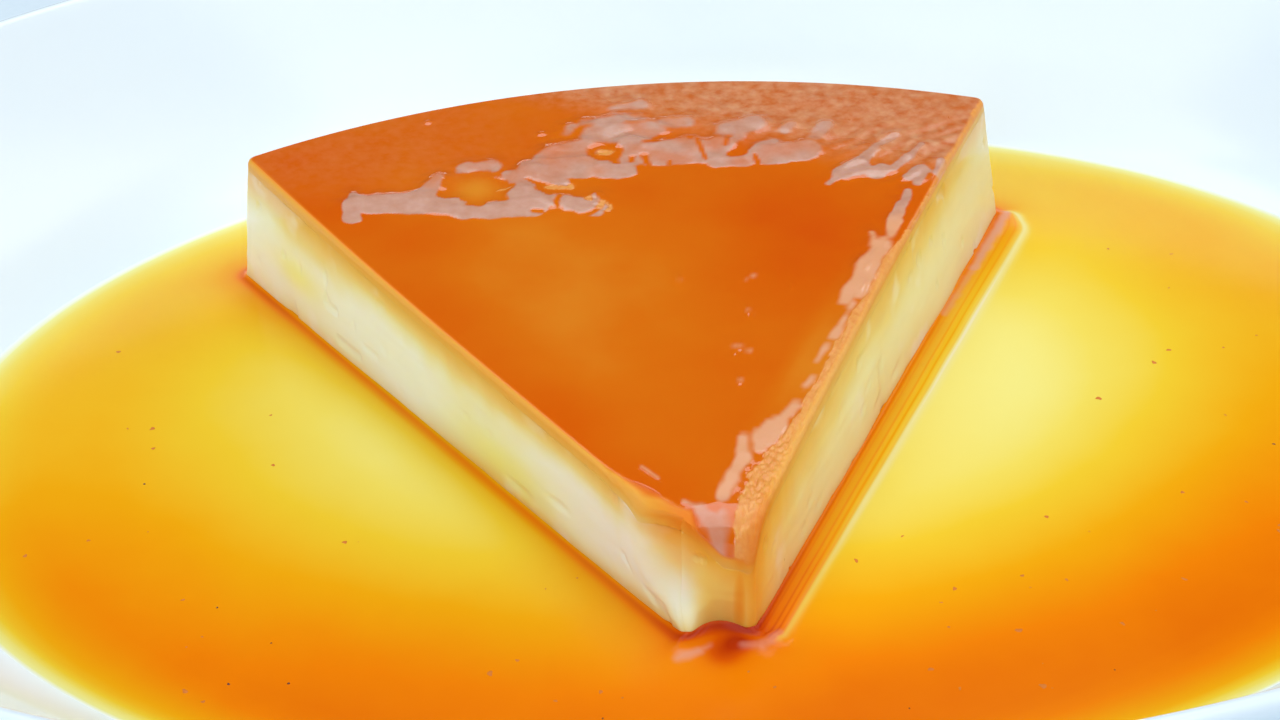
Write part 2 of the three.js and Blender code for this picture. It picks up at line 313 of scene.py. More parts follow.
def underside_height(radius):
    """The underside follows the upper surface, the wall's thickness below it."""
    step = 0.5 * MM
    slope = (well_height(radius + step) - well_height(radius - step)) / (2 * step)
    thin = smoothstep(radius, WALL_START_RADIUS, PLATE_LENGTH / 2)
    return well_height(radius) - lerp(PLATE_WALL, LIP_THICKNESS, thin) * np.hypot(1, slope)


def plate_profile():
    """Half of the cross-section, from the axis over the top, round the lip in a half circle and
    back along the underside with its foot ring, whose edges are quarter-rounds."""
    flat, dome, wall, lip, under, quarters, within = PLATE_POINTS
    slope_angle, lip_radius = atan(WALL_SLOPE), LIP_THICKNESS / 2
    wall_end = PLATE_LENGTH / 2 - lip_radius * (1 + sin(slope_angle))
    upper = np.concatenate([
        np.linspace(0, DOME_FLAT_RADIUS, flat)[:-1],
        np.linspace(DOME_FLAT_RADIUS, WALL_START_RADIUS, dome)[:-1],
        np.linspace(WALL_START_RADIUS, wall_end, wall),
    ])
    turn = np.linspace(pi / 2 + slope_angle, slope_angle - pi / 2, lip)[1:-1]
    lip_r = wall_end + lip_radius * (sin(slope_angle) + np.cos(turn))
    lip_z = well_height(wall_end) - lip_radius * (cos(slope_angle) - np.sin(turn))
    outside = np.linspace(wall_end - FOOT_DRAFT, FOOT_RADIUS + FOOT_DRAFT, under)
    quarter = np.linspace(0, pi / 2, quarters)
    foot_inner = FOOT_RADIUS - FOOT_WIDTH
    foot_r = np.concatenate([
        FOOT_RADIUS + FOOT_EDGE * (np.cos(quarter) - FOOT_TUCK),
        foot_inner - FOOT_EDGE * (np.sin(quarter) - FOOT_TUCK),
    ])
    foot_z = FOOT_EDGE * np.concatenate([1 - np.sin(quarter), 1 - np.cos(quarter)])
    inside = np.linspace(foot_inner - FOOT_DRAFT, 0, within)
    r = np.concatenate([upper, lip_r, outside, foot_r, inside])
    z = [well_height(upper), lip_z, underside_height(outside), foot_z, underside_height(inside)]
    return r, np.concatenate(z)


# ---- the slice's form ----


def round_corners(across, along, half, length, corners):
    """Turns the upright corners into arcs. A corner is (side, whether at the rear, radius).
    Within its radius of both edges, the square grid is drawn in to rings about the arc's
    middle."""
    for side, rear, radius in corners:
        a = radius - (1 - side * across) * half
        b = radius - (1 - along if rear else along) * length
        inside = (a > 0) & (b > 0)
        scale = np.maximum(a, b) / np.maximum(np.hypot(a, b), TINY)
        end = (radius - b * scale) / length
        across = np.where(inside, side * (1 - (radius - a * scale) / half), across)
        along = np.where(inside, 1 - end if rear else end, along)
    return across, along


def slice_plan(across, along, z):
    """Plan position on the slice. across runs from -1 at the left cut to 1 at the right one,
    along from 0 at the nose to 1 at the rear, and z is the height over the sauce's level. A
    point lies on a ray from the pan's axis, between the nose's cut and the pan's wall."""
    rise = np.clip(z / REAR_HEIGHT, None, 1)
    foot = bump(np.maximum(z, 0), NOSE_DENT_HEIGHT)
    mean_angle = radians((LEFT_CUT_ANGLE + RIGHT_CUT_ANGLE) / 2)
    half = lerp(NOSE_CUT, PAN_RADIUS, along) * sin(mean_angle)
    corners = (
        (-1, True, REAR_CORNER),
        (1, True, REAR_CORNER),
        (-1, False, lerp(NOSE_LEFT_CORNER, NOSE_FOOT_CORNER, foot)),
        (1, False, NOSE_RIGHT_CORNER),
    )
    across, along = round_corners(across, along, half, PAN_RADIUS - NOSE_CUT, corners)
    left = -radians(LEFT_CUT_ANGLE)
    right = np.radians(RIGHT_CUT_ANGLE - RIGHT_LEAN_ANGLE * rise)
    angle = lerp(left, right, (across + 1) / 2)
    dent = NOSE_DENT * (1 - across * across) ** 2 * foot
    from_right = (1 - across) / 2
    rounded = NOSE_LEFT_ROUND * (1 - np.sqrt(np.clip(1 - from_right**2, 0, 1))) * (1 - foot)
    nose = (NOSE_CUT + dent + rounded) / np.cos(angle)
    radius = lerp(nose, PAN_RADIUS + PAN_TAPER * (1 - rise), along)
    bow = CUT_BOW * np.sin(pi * along) * rise
    return radius * np.sin(angle) - bow, radius * np.cos(angle)


def near_tip(y):
    """1 by the nose's cut, fading to 0 further back by a smoothstep."""
    return smoothstep(y, NOSE_BAND_END, NOSE_BAND_START)


def left_band(y):
    """Width of the soft band along the top's left edge."""
    return lerp(LEFT_BAND, NOSE_LEFT_BAND, near_tip(y))


def from_left_cut(x, y):
    """Distance from the left cut, inwards."""
    return y * sin(radians(LEFT_CUT_ANGLE)) + x * cos(radians(LEFT_CUT_ANGLE))


def from_right_cut(x, y):
    """Distance from the top's right edge, inwards."""
    angle = radians(RIGHT_CUT_ANGLE - RIGHT_LEAN_ANGLE)
    return y * sin(angle) - x * cos(angle)


def from_edges(x, y, across, along):
    """Distances along the top from its left edge, its right edge and its rear edge."""
    half = np.hypot(x, y) * sin(radians(LEFT_CUT_ANGLE))
    return (1 + across) * half, (1 - across) * half, (1 - along) * PAN_RADIUS


def straight_top(x, y):
    """Height of the flan's top before anything is rounded: a straight rise from tip to rear."""
    return lerp(TIP_HEIGHT, REAR_HEIGHT, np.hypot(x, y) / PAN_RADIUS)


def rolled_top(x, y):
    """Height of the flan's top before its edges and relief: the straight top, rolling down over
    the nose and over the left edge beside it."""
    uneven = 0.35 * MM * noise(x, y, 2.4 * MM, 31)
    front = roll_off(y - NOSE_CUT + uneven, NOSE_ROLL, NOSE_DROP)
    left = roll_off(from_left_cut(x, y) + uneven, left_band(y), NOSE_LEFT_DROP * near_tip(y))
    return straight_top(x, y) - np.hypot(front, left)


# Plates of bare skin that stand out of the caramel film, as bars from a to b: x, y, x, y and
# radius, in millimetres of the slice's frame. The lists that follow use the same millimetres.
ISLANDS = [
    # the long tongue on the left
    (-40.6, 82.6, -40.7, 79.6, 0.6),
    (-40.7, 80.0, -40.6, 76.8, 1.2),
    (-38.6, 79.7, -31.0, 79.6, 2.2),
    (-31.2, 81.2, -28.4, 85.0, 1.4),
    (-31.0, 78.9, -27.6, 78.8, 1.7),
    (-28.0, 78.8, -26.0, 79.3, 0.7),
    (-28.4, 77.6, -25.4, 76.2, 0.9),
    (-25.6, 76.3, -20.0, 76.6, 1.2),
    (-20.6, 76.7, -15.6, 76.7, 2.0),
    (-17.0, 79.8, -15.6, 77.8, 2.2),
    (-16.6, 81.6, -15.6, 85.6, 1.4),
    # inside the ring at its right end
    (-13.0, 78.4, -11.6, 75.9, 0.7),
    (-11.0, 77.2, -8.2, 75.6, 1.5),
    (-8.6, 74.9, -7.2, 74.3, 0.8),
    (-6.7, 78.4, -6.1, 75.6, 0.7),
    # behind the large pit
    (-24.8, 88.4, -20.9, 88.5, 1.1),
    (-25.2, 87.6, -24.9, 88.2, 0.7),
    (-20.4, 87.4, -20.4, 88.4, 0.8),
    (-18.8, 85.8, -18.3, 84.2, 0.9),
    (-20.6, 84.9, -20.2, 84.7, 0.6),
    # the wide one
    (-14.4, 86.4, -6.0, 86.2, 2.5),
    (-13.6, 89.4, -11.7, 91.2, 1.2),
    (-10.4, 90.2, -7.4, 91.0, 2.6),
    (-13.6, 83.8, -11.0, 82.8, 0.7),
    (-5.0, 84.9, -2.0, 84.7, 1.8),
    (-9.3, 96.2, -8.4, 97.8, 1.0),
    (-6.4, 98.7, -4.0, 98.2, 1.2),
    (-5.6, 94.6, -2.6, 97.2, 2.5),
    (-1.8, 94.4, 2.4, 94.8, 2.8),
    (-1.2, 98.8, 1.4, 98.4, 1.5),
    (-2.0, 102.6, 2.4, 103.0, 1.2),
    (-1.0, 87.4, -0.6, 90.8, 2.0),
    (3.0, 88.4, 7.6, 88.6, 3.2),
    (5.2, 97.0, 8.4, 96.8, 1.6),
    (10.4, 87.6, 12.2, 88.4, 2.6),
    (11.0, 85.2, 15.4, 84.6, 1.2),
    (13.6, 88.4, 16.0, 91.6, 0.6),
    (14.4, 93.0, 18.2, 94.6, 2.1),
    (14.0, 90.6, 14.6, 92.4, 1.4),
    (18.4, 85.6, 24.4, 85.9, 2.4),
    (18.6, 87.6, 19.8, 88.8, 1.3),
    (22.4, 92.2, 23.8, 93.6, 0.9),
    (26.6, 89.6, 28.8, 92.2, 1.2),
    # the ones on the right
    (26.0, 76.7, 28.2, 78.6, 0.4),
    (28.6, 79.1, 31.0, 80.2, 1.4),
    (31.8, 82.0, 34.2, 84.4, 0.8),
    (35.0, 85.6, 38.0, 87.6, 0.7),
    (33.0, 78.2, 34.4, 79.0, 1.0),
    (35.8, 78.9, 38.4, 81.4, 0.6),
    (38.8, 81.8, 41.0, 84.4, 0.5),
    (37.6, 76.4, 39.6, 77.6, 1.0),
    (41.6, 76.4, 42.8, 79.4, 0.7),
    # along the right cut
    (38.2, 74.6, 39.2, 76.2, 0.7),
    (35.6, 70.6, 36.4, 72.6, 0.5),
    (33.4, 66.6, 34.8, 69.6, 0.7),
    (31.6, 61.9, 33.0, 65.4, 0.8),
    (29.3, 60.6, 29.3, 63.2, 0.45),
    (27.6, 56.0, 30.2, 60.6, 1.4),
    (24.6, 50.2, 27.6, 56.0, 1.6),
    (22.6, 48.4, 24.8, 51.4, 1.0),
    (22.8, 46.4, 23.6, 47.6, 0.6),
    (19.7, 41.0, 22.0, 44.8, 0.75),
    (16.8, 36.6, 18.4, 39.2, 0.6),
    (14.3, 31.6, 15.4, 33.0, 0.6),
    (9.6, 24.8, 12.6, 28.2, 0.9),
    (7.9, 22.6, 9.6, 24.4, 1.7),
    (6.9, 20.8, 7.4, 22.0, 0.7),
    (4.4, 19.2, 5.2, 23.0, 0.7),
    (2.8, 16.2, 4.4, 19.4, 1.0),
    (1.2, 12.8, 2.8, 16.4, 0.8),
    # on the nose
    (-3.2, 12.7, -1.5, 11.3, 0.35),
    (-1.5, 11.0, -0.4, 9.6, 1.2),
    (-0.6, 9.8, 0.0, 8.2, 1.3),
    (0.9, 10.3, 0.9, 9.2, 0.9),
    (0.0, 8.4, 0.2, 7.3, 0.7),
    (-7.3, 19.4, -5.7, 17.2, 0.25),
    # specks on the film
    (7.7, 40.8, 8.9, 40.0, 0.3),
    (6.6, 41.6, 7.2, 41.2, 0.2),
    (9.8, 48.4, 10.8, 47.8, 0.25),
    (10.9, 55.6, 12.3, 56.3, 0.25),
    (6.4, 34.3, 6.9, 34.0, 0.2),
    (1.8, 57.0, 2.5, 56.9, 0.25),
]
# Gaps in them that hold caramel, as bars.
GAPS = [
    (-25.0, 84.0, -21.6, 82.4, 3.2),
    (-23.0, 80.6, -24.8, 80.2, 1.2),
    (-15.6, 75.9, -14.8, 75.7, 0.6),
    (-16.0, 84.0, -14.6, 82.4, 0.35),
    (-0.9, 86.9, -0.6, 88.0, 0.25),
    (1.2, 88.2, 1.7, 83.0, 0.4),
    (4.7, 86.4, 4.2, 84.2, 0.25),
    (3.6, 92.4, 5.6, 93.8, 0.7),
    (5.6, 93.8, 7.2, 94.0, 0.5),
    (7.2, 94.0, 8.4, 91.8, 0.5),
    (9.2, 92.4, 9.8, 86.0, 0.25),
    (11.0, 92.6, 12.6, 98.0, 1.1),
    (13.2, 89.2, 14.0, 91.4, 0.3),
    (13.7, 86.6, 15.8, 89.4, 0.7),
    (17.0, 86.0, 17.1, 83.2, 0.4),
    (17.6, 90.0, 20.4, 90.8, 0.8),
    (22.4, 89.4, 24.8, 90.6, 1.1),
    (20.4, 92.4, 22.0, 95.0, 0.7),
    (30.8, 88.6, 31.0, 91.0, 1.4),
]
# Round craters in them: x, y, radius of the ridge in the middle and of the moat round it.
CRATERS = [(-4.4, 89.9, 1.2, 2.5), (-9.2, 77.4, 2.7, 3.7)]
# Spots of granular crust beside them, as bars.
CRUST_SPOTS = [
    (-7.6, 78.0, -5.6, 75.8, 1.1),
    (-13.2, 81.9, -10.4, 81.7, 0.7),
    (-20.4, 81.8, -18.4, 82.2, 0.5),
    (-4.8, 89.9, -4.0, 89.9, 0.9),
]
# Bubbles and grains under the film: x, y and radius.
BUBBLES = [
    (9.9, 48.1, 0.55),
    (7.0, 40.6, 0.5),
    (7.8, 41.2, 0.4),
    (6.6, 34.0, 0.35),
    (2.0, 57.0, 0.6),
    (16.6, 53.2, 0.35),
    (-4.5, 10.3, 0.4),
    (5.0, 17.6, 0.35),
    (23.8, 48.7, 0.4),
    (25.9, 51.4, 0.45),
    (27.1, 55.4, 0.4),
    (28.7, 58.3, 0.45),
    (30.8, 60.6, 0.4),
    (-13.0, 96.8, 0.7),
    (-29.6, 102.2, 0.7),
]
BUBBLE_RISE = 0.3  # their height as a share of their radius
ISLAND_BLEND = 0.3 * MM  # how far bars that touch melt together
PLATE_EDGE = 0.04 * MM  # how high the front edge of a plate of skin stands
PLATE_FALL = 2.2 * MM  # the film climbs to a plate's sides and rear over this
FRONT_TILT = 0.01  # slope of the plates near the nose
REAR_TILT = 0.13  # and at the rear
LEVEL_SHARE = 0.3  # share of the slice's length before the slope grows
FILM_CLIMB = 0.45  # share of the plates' height that the film beside them reaches


def islands(x, y):
    """How far a point lies inside the bare skin, in metres, negative under the caramel film, and
    the skin's height over the film. Each bar is a plate that rises towards the rear from a thin
    front edge, the more steeply the further back it lies, and the film climbs to it. Bars melt
    together: inside is the logarithm of the sum of their exponentials, and the height the cube
    root of the sum of their cubes. Noise makes their edges ragged."""
    ragged = 0.35 * MM * noise(x, y, 2.8 * MM, 11) + 0.22 * MM * noise(x, y, 1.1 * MM, 12)
    total, cubes = np.full(np.shape(x), TINY), np.zeros(np.shape(x))
    for bar in ISLANDS:
        _, ay, _, by, radius = (v * MM for v in bar)
        reach = inside_bar(x, y, bar) + ragged * min(1, radius / MM)
        back = max(0, (ay + by) / 2 / PAN_RADIUS - LEVEL_SHARE) / (1 - LEVEL_SHARE)
        offset = np.maximum(y - min(ay, by) + radius, 0)
        rise = PLATE_EDGE + lerp(FRONT_TILT, REAR_TILT, back) * offset
        total += np.exp(reach / ISLAND_BLEND)
        cubes += (rise * np.clip(1 + reach / PLATE_FALL, 0, 1)) ** 3
    inside = ISLAND_BLEND * np.log(total)
    for gap in GAPS:
        inside = np.minimum(inside, 0.5 * ragged - inside_bar(x, y, gap))
    for cx, cy, ridge, moat in CRATERS:
        away = away_from(x, y, cx, cy) + 0.5 * ragged
        inside = np.minimum(inside, np.maximum(away - moat * MM, ridge * MM - away))
    on_plate = smoothstep(inside, -1.2 * MM, 0.3 * MM)
    return inside, np.cbrt(cubes) * lerp(FILM_CLIMB, 1, on_plate)


def bubbles(x, y):
    """Height of the bubbles and grains under the film: half-ellipsoids on the smooth top."""
    height = np.zeros(np.shape(x))
    for bx, by, radius in BUBBLES:
        away = away_from(x, y, bx, by) / (radius * MM)
        dome = np.sqrt(np.clip(1 - away * away, 0, 1))
        height = np.maximum(height, BUBBLE_RISE * radius * MM * dome)
    return height


def dry_skin(x, y):
    """Share of dull skin in the surface: most of the right rear, mottled, and a trace on the
    left."""
    right = smoothstep(y + 0.55 * x, 95 * MM, 108 * MM)
    left = 0.14 * smoothstep(-x, 2 * MM, 40 * MM) * smoothstep(y, 78 * MM, 94 * MM)
    mottle = 0.1 * noise(x, y, 5 * MM, 13) + 0.08 * noise(x, y, 1.8 * MM, 14)
    return np.clip(np.maximum(right * (0.8 + mottle), left), 0, 1)


def granular_strip(x, y):
    """How far a point lies inside the granular crust, in metres. It lines the right cut, widest
    before the nose, and fills a few spots."""
    width = lerp(2.1, 0.7, smoothstep(y, 54 * MM, 66 * MM)) * MM
    width = width + 1.6 * MM * bump(y - 16 * MM, 7 * MM)
    ragged = 0.3 * MM * noise(x, y, 2.1 * MM, 21) + 0.3 * MM * noise(x, y, 0.9 * MM, 22)
    inside = width - from_right_cut(x, y)
    for bar in CRUST_SPOTS:
        inside = np.maximum(inside, inside_bar(x, y, bar))
    return inside + ragged


def skin_relief(x, y):
    """Height of the film's and the skin's relief over the smooth top: the tilted plates, fine
    wrinkles of the dull skin, ridges beside the right cut and the grains of the crust."""
    inside, height = islands(x, y)
    skin = np.maximum(dry_skin(x, y), 0.2 * smoothstep(inside, 0, 0.5 * MM))
    wrinkles = 0.1 * MM * noise(x - 0.5 * y, y + 0.4 * x, 3.4 * MM, 41)
    wrinkles += 0.03 * MM * noise(x, y, 1.6 * MM, 42)
    rear = smoothstep(y, 72 * MM, 78 * MM) * smoothstep(y, 94 * MM, 88 * MM)
    ridged = smoothstep(x, 24 * MM, 31 * MM) * rear
    phase = 2 * pi * (y - 0.5 * x) / (3.4 * MM) + 3 * noise(x, y, 6 * MM, 43)
    height = height + skin * wrinkles + 0.07 * MM * ridged * np.sin(phase) + bubbles(x, y)
    grains = smoothstep(granular_strip(x, y), -0.1 * MM, 0.5 * MM)
    height += grains * 0.22 * MM * (pebbles(x, y, 0.6 * MM, 51) - 0.6)
    return height + 0.04 * MM * noise(x, y, 16 * MM, 44)


def skin_top(x, y, across, along):
    """Height of the flan's top with its rounded edges and its relief."""
    left, right, rear = from_edges(x, y, across, along)
    side = np.minimum(left, right)
    side_drop = roll_off(side, EDGE_ROUNDING, EDGE_ROUNDING)
    rear_drop = roll_off(rear, EDGE_ROUNDING, EDGE_ROUNDING)
    inner = smoothstep(rear, 0, 1.5 * MM) * smoothstep(side, -0.2 * MM, 0.6 * MM)
    return rolled_top(x, y) - np.maximum(side_drop, rear_drop) + skin_relief(x, y) * inner


def bed_under(x, y):
    """The plate's surface under a point, as a height over the sauce's level."""
    return plate_top(x + PAN_AXIS[0], y + PAN_AXIS[1]) - SAUCE_LEVEL


def layer_points(across, along, level, lower, upper):
    """Points of a layer of the slice between two surfaces. The plan leans with height, so
    height and plan are worked out in turns."""
    z = np.zeros(np.broadcast(across, along, level).shape)
    x, y = slice_plan(across, along, z)
    for _ in range(LEAN_TURNS):
        z = lerp(lower(x, y), upper(x, y), level)
        x, y = slice_plan(across, along, z)
    return x, y, z


def along_steps():
    """Steps from the nose to the rear, finest where the top has relief."""
    return np.interp(np.linspace(0, 1, ALONG_STEPS + 1), STEP_SHARES, STEP_PLACES)


def outline():
    """across and along once round the slice, anticlockwise from the nose's left corner."""
    u, v = 2 * crowded(ACROSS_STEPS) - 1, along_steps()
    across = [u[:-1], np.ones(ALONG_STEPS), u[:0:-1], -np.ones(ALONG_STEPS)]
    along = [np.zeros(ACROSS_STEPS), v[:-1], np.ones(ACROSS_STEPS), v[:0:-1]]
    return np.concatenate(across), np.concatenate(along)


def wall_relief(x, y, z, round_way):
    """How far the cut faces stand out: broad waves, fine drag marks of the knife and a few
    small voids, none of it at the upper edge."""
    depth = rolled_top(x, y) - z
    waves = 0.1 * MM * noise(round_way, z, 14 * MM, 61)
    waves = waves + 0.05 * MM * noise(round_way, z, 4 * MM, 62)
    drag = 0.03 * MM * noise(round_way * 0.16, z, 0.8 * MM, 63)
    holes = smoothstep(noise(round_way, z, 2.6 * MM, 64), 0.72, 0.9)
    return (waves + drag - 0.22 * MM * holes) * smoothstep(depth, 0.8 * MM, 2.6 * MM)


def outward(x, y):
    """Outward normals of closed loops of points, from each point's two neighbours."""
    dx = np.roll(x, -1, axis=-1) - np.roll(x, 1, axis=-1)
    dy = np.roll(y, -1, axis=-1) - np.roll(y, 1, axis=-1)
    length = np.hypot(dx, dy)
    return dy / length, -dx / length


def wall_points(levels, lower, upper):
    """The slice's upright faces as loops, one for each level from lower (0) to upper (1)."""
    across, along = outline()
    x, y, z = layer_points(across, along, levels[:, None], lower, upper)
    step = np.hypot(x - np.roll(x, 1, axis=-1), y - np.roll(y, 1, axis=-1))
    round_way = np.broadcast_to(np.cumsum(step.mean(axis=0)), x.shape)
    nx, ny = outward(x, y)
    out = wall_relief(x, y, z, round_way)
    return x + nx * out, y + ny * out, z, round_way


def cap(edge, height):
    """A lid over a loop of points: the loop itself, then rings drawn in to a pole, at a height
    function."""
    across, along = outline()
    shares = np.array(CAP_SHARES)[:, None]
    rings = layer_points(across * shares, lerp(CAP_POLE, along, shares), 1.0, height, height)
    return [np.concatenate([loop[None], ring]) for loop, ring in zip(edge, rings)]


def stained_underside(x, y):
    """Underside of the caramel-soaked skin."""
    return rolled_top(x, y) - TOP_LAYER


def rolled_under_edge(x, y):
    """The rolled top, lowered by the rounding of its edge."""
    return rolled_top(x, y) - EDGE_ROUNDING


def stain(x, y, z, round_way):
    """How far caramel has soaked into the side, from 0 to 1. It falls as a bell with the depth
    below the straight top, and the right cut is stained all the way down. The foot is soaked by
    the sauce, most in the front half, and two stretches of the left cut are paler. The nose turns
    from cream on the left to amber, with an orange run beside its right corner."""
    depth = np.maximum(straight_top(x, y) - z, 0) / MM
    height = np.maximum(z, 0) / MM
    forward = np.maximum(y - NOSE_CUT, 0) / MM
    corner = smoothstep(y, 16 * MM, 9 * MM)
    on_nose = smoothstep(y, 13 * MM, 9 * MM)
    uneven = 1 + 0.16 * noise(round_way, 0 * z, 9 * MM, 71) + 0.1 * noise(round_way, z, 3 * MM, 73)
    spread = lerp(lerp(6.4, 5.2, smoothstep(y, 60 * MM, 30 * MM)), 8.4, corner)
    left = lerp(0.8, 1, corner) * bump(depth, spread * uneven)
    along_foot = 0.44 + 0.28 * smoothstep(y, 64 * MM, 34 * MM)
    left = left + along_foot * np.exp(-height / lerp(2.9, 1.7, corner))
    pale = 0.14 * bump(y - 60 * MM, 10 * MM) + 0.16 * bump(y - 23 * MM, 10 * MM)
    left = left - pale * smoothstep(depth, 2, 6)
    nose = 0.08 + 0.3 * smoothstep(x, -4.5 * MM, -0.5 * MM) + 0.3 * np.exp(-height / 1.4)
    right = 0.2 + 0.5 * np.exp(-forward / 6) + 0.47 * bump(depth, 6 * uneven)
    right = right + 0.2 * bump(height, 0.8) + 0.12 * np.exp(-height / 5)
    amount = lerp(left, np.maximum(left, nose), on_nose)
    amount = lerp(amount, right, np.exp(-np.maximum(from_right_cut(x, y), 0) / (1.5 * MM)))
    amount = amount + 0.07 * noise(round_way, z * 0.12, 1.2 * MM, 72) * np.exp(-forward / 10)
    orange_run = on_nose * bump(x - 2.4 * MM, 1.3 * MM)
    return np.clip(np.maximum(amount, 0.8 * orange_run), 0, 1)


def yolk(x, y, z):
    """Where the cream is yellower: two soft patches on the left cut, the upper part of the
    right cut, and the nose."""
    front = bump(y - 39 * MM, 10 * MM) * bump(z - 4.5 * MM, 4.5 * MM)
    rear = bump(y - 84 * MM, 6 * MM) * bump(z - 8.5 * MM, 3 * MM)
    left = smoothstep(from_left_cut(x, y), 4 * MM, 1 * MM) * np.clip(front + rear, 0, 1)
    nose = 0.75 * smoothstep(x, -4 * MM, -1 * MM) * smoothstep(y, 14 * MM, 9 * MM)
    upper = bump(straight_top(x, y) - z, 5 * MM)
    right = 0.5 * smoothstep(from_right_cut(x, y), 4 * MM, 1 * MM) * upper
    return np.maximum.reduce([left, nose, right])


# ---- the sauce ----


def sauce_wall(height):
    """The foot of the slice at a height function as a closed loop, with outward directions. Over
    the nose the directions fan out evenly, and they are smoothed round the other corners."""
    across, along = outline()
    z = np.zeros(across.shape)
    x, y = slice_plan(across, along, z)
    x, y = slice_plan(across, along, height(x, y))
    nx, ny = outward(x, y)
    fan = np.radians(across * NOSE_FAN)
    at_front = along * PAN_RADIUS < 2 * NOSE_RIGHT_CORNER
    nx, ny = np.where(at_front, np.sin(fan), nx), np.where(at_front, -np.cos(fan), ny)
    for shift in (1, 2, 4, 2, 1):
        nx = (np.roll(nx, shift) + 2 * nx + np.roll(nx, -shift)) / 4
        ny = (np.roll(ny, shift) + 2 * ny + np.roll(ny, -shift)) / 4
    length = np.hypot(nx, ny)
    return x, y, nx / length, ny / length


def wetted_height(x, y):
    """Height up to which the sauce wets the slice's foot, the same all round."""
    return MENISCUS_RISE + 0 * x


def pool_radius():
    """The radius, along X, where the sauce runs out on the plate."""
    radii = np.linspace(WALL_START_RADIUS, PLATE_LENGTH / 2, EDGE_SEARCH_STEPS)
    return radii[np.argmax(well_height(radii) >= SAUCE_LEVEL)]


def pool_edge(x, y):
    """The pool's edge straight out from the plate's middle, in the slice's frame."""
    px, py = x + PAN_AXIS[0], y + PAN_AXIS[1]
    radius = np.hypot(px, py * PLATE_LENGTH / PLATE_WIDTH)
    scale = pool_radius() / radius
    return px * scale - PAN_AXIS[0], py * scale - PAN_AXIS[1]


# Where the loops of the pool's mesh lie: distances from the slice's foot, then shares of the way
# to the pool's edge.
NEAR_LOOPS = np.concatenate([np.linspace(0, 5.6, 43), np.linspace(5.6, 9, 8)[1:]]) * MM
FAR_LOOPS = crowded(24, 0.3)[1:]
UNDER_NEAR_LOOPS = NEAR_LOOPS[::11]
UNDER_FAR_LOOPS = FAR_LOOPS[1::5]


def foot_shares():
    """Three shares for the points round the slice's foot: 1 along the right cut, fading to 0 on
    the nose and at the very rear; 1 round the nose, fading along both cuts; and 1 along the slice,
    falling to 0 in a quarter circle where the lines beside the right cut curl in."""
    across, along = outline()
    on_cut = (across == 1) * smoothstep(along, 1, 0.99)
    right = np.maximum(on_cut, (along == 0) * smoothstep(across, 0.8, 1))
    nose = np.exp(-along / NOSE_FADE)
    curl = np.clip((along - CURL_START) / (1 - CURL_START), 0, 1)
    return right, nose, np.sqrt(1 - curl**2)


SAUCE_DENSITY = 0.021  # optical depth of the thin rear sauce
FRONT_DENSITY = 0.106  # added towards the front
LEFT_DENSITY = 0.030  # added towards the left
RIGHT_DENSITY = 0.038  # added towards the right
DEPTH_OFFSET = 1.61 * MM
DEPTH_POWER = 1.54


def optical_depth(x, y):
    """How strongly the sauce colours what lies under it: the depth of the liquid to a power, times
    a density that grows towards both sides and most towards the front, where the thick caramel has
    settled. It fades out in the thin margin."""
    px, py = x + PAN_AXIS[0], y + PAN_AXIS[1]
    depth = np.maximum(-bed_under(x, y), 0)
    density = SAUCE_DENSITY + FRONT_DENSITY * smoothstep(-py, -10.4 * MM, 87 * MM)
    density = density + LEFT_DENSITY * smoothstep(-px, 10 * MM, 100 * MM)
    density = density + RIGHT_DENSITY * smoothstep(px, 10 * MM, 100 * MM)
    strength = density * ((depth + DEPTH_OFFSET) / MM) ** DEPTH_POWER
    return strength * smoothstep(depth, -0.2 * MM, 1.9 * MM)


# Lines along the right cut, painted reflections of the cut face in the swollen sauce, between
# the foot and a painted line of light that leaves the cut slowly: share of the way, width in
# millimetres and added optical depth.
PAINTED_REFLECTION_STREAKS = [
    (0.10, 0.24, 0.55),
    (0.24, 0.12, 0.30),
    (0.52, 0.14, 0.50),
    (0.72, 0.13, 0.50),
    (0.89, 0.13, 0.45),
]
# A painted line of light on the swollen sauce beside the right cut.
PAINTED_LIGHT_LINE_START = 3.35  # millimetres from the cut at the nose
PAINTED_LIGHT_LINE_END = 5.35  # and at the rear
PAINTED_LIGHT_LINE_WIDTH = 0.42
PAINTED_LIGHT_LINE_REAR_WIDTH = 0.9
# Drops of thick sauce before the nose: x, y, radius and rise in millimetres and optical depth.
DROPS = [
    (-4.6, 5.6, 1.3, 0.40, 0.0),
    (0.1, 4.2, 2.2, 0.10, 1.15),
    (1.6, 5.9, 1.6, 0.0, 0.9),
    (2.2, 5.0, 1.2, 0.35, 0.7),
    (4.3, 4.6, 1.3, 0.40, 0.3),
    (6.4, 5.9, 1.1, 0.30, 0.2),
]
# Pinkish smears on the sauce, partly custard and partly painted reflections on the swollen sauce,
# as bars: x, y, x, y and radius in millimetres, and share.
SMEARS_AND_PAINTED_SHEEN = [
    (-5.3, 3.9, -2.8, 4.8, 0.5, 0.6),
    (-2.8, 4.9, -1.4, 5.4, 0.3, 0.45),
    (2.4, 4.7, 4.4, 4.3, 0.5, 0.35),
    (4.4, 4.4, 7.2, 6.2, 0.5, 0.35),
    (42.7, 72.3, 50.2, 84.2, 0.4, 0.35),
    (50.2, 84.2, 59.6, 100.2, 0.6, 0.75),
]


def smears_and_painted_sheen(x, y):
    """Share of the pinkish smears on the sauce, partly custard and partly painted reflection,
    fading at their edges.
    """
    ragged = 0.25 * noise(x, y, 1.3 * MM, 92)
    shares = []
    for *bar, most in SMEARS_AND_PAINTED_SHEEN:
        shares.append(most * smoothstep(inside_bar(x, y, bar) / MM + ragged, -0.6, 0.5))
    return np.maximum.reduce(shares)


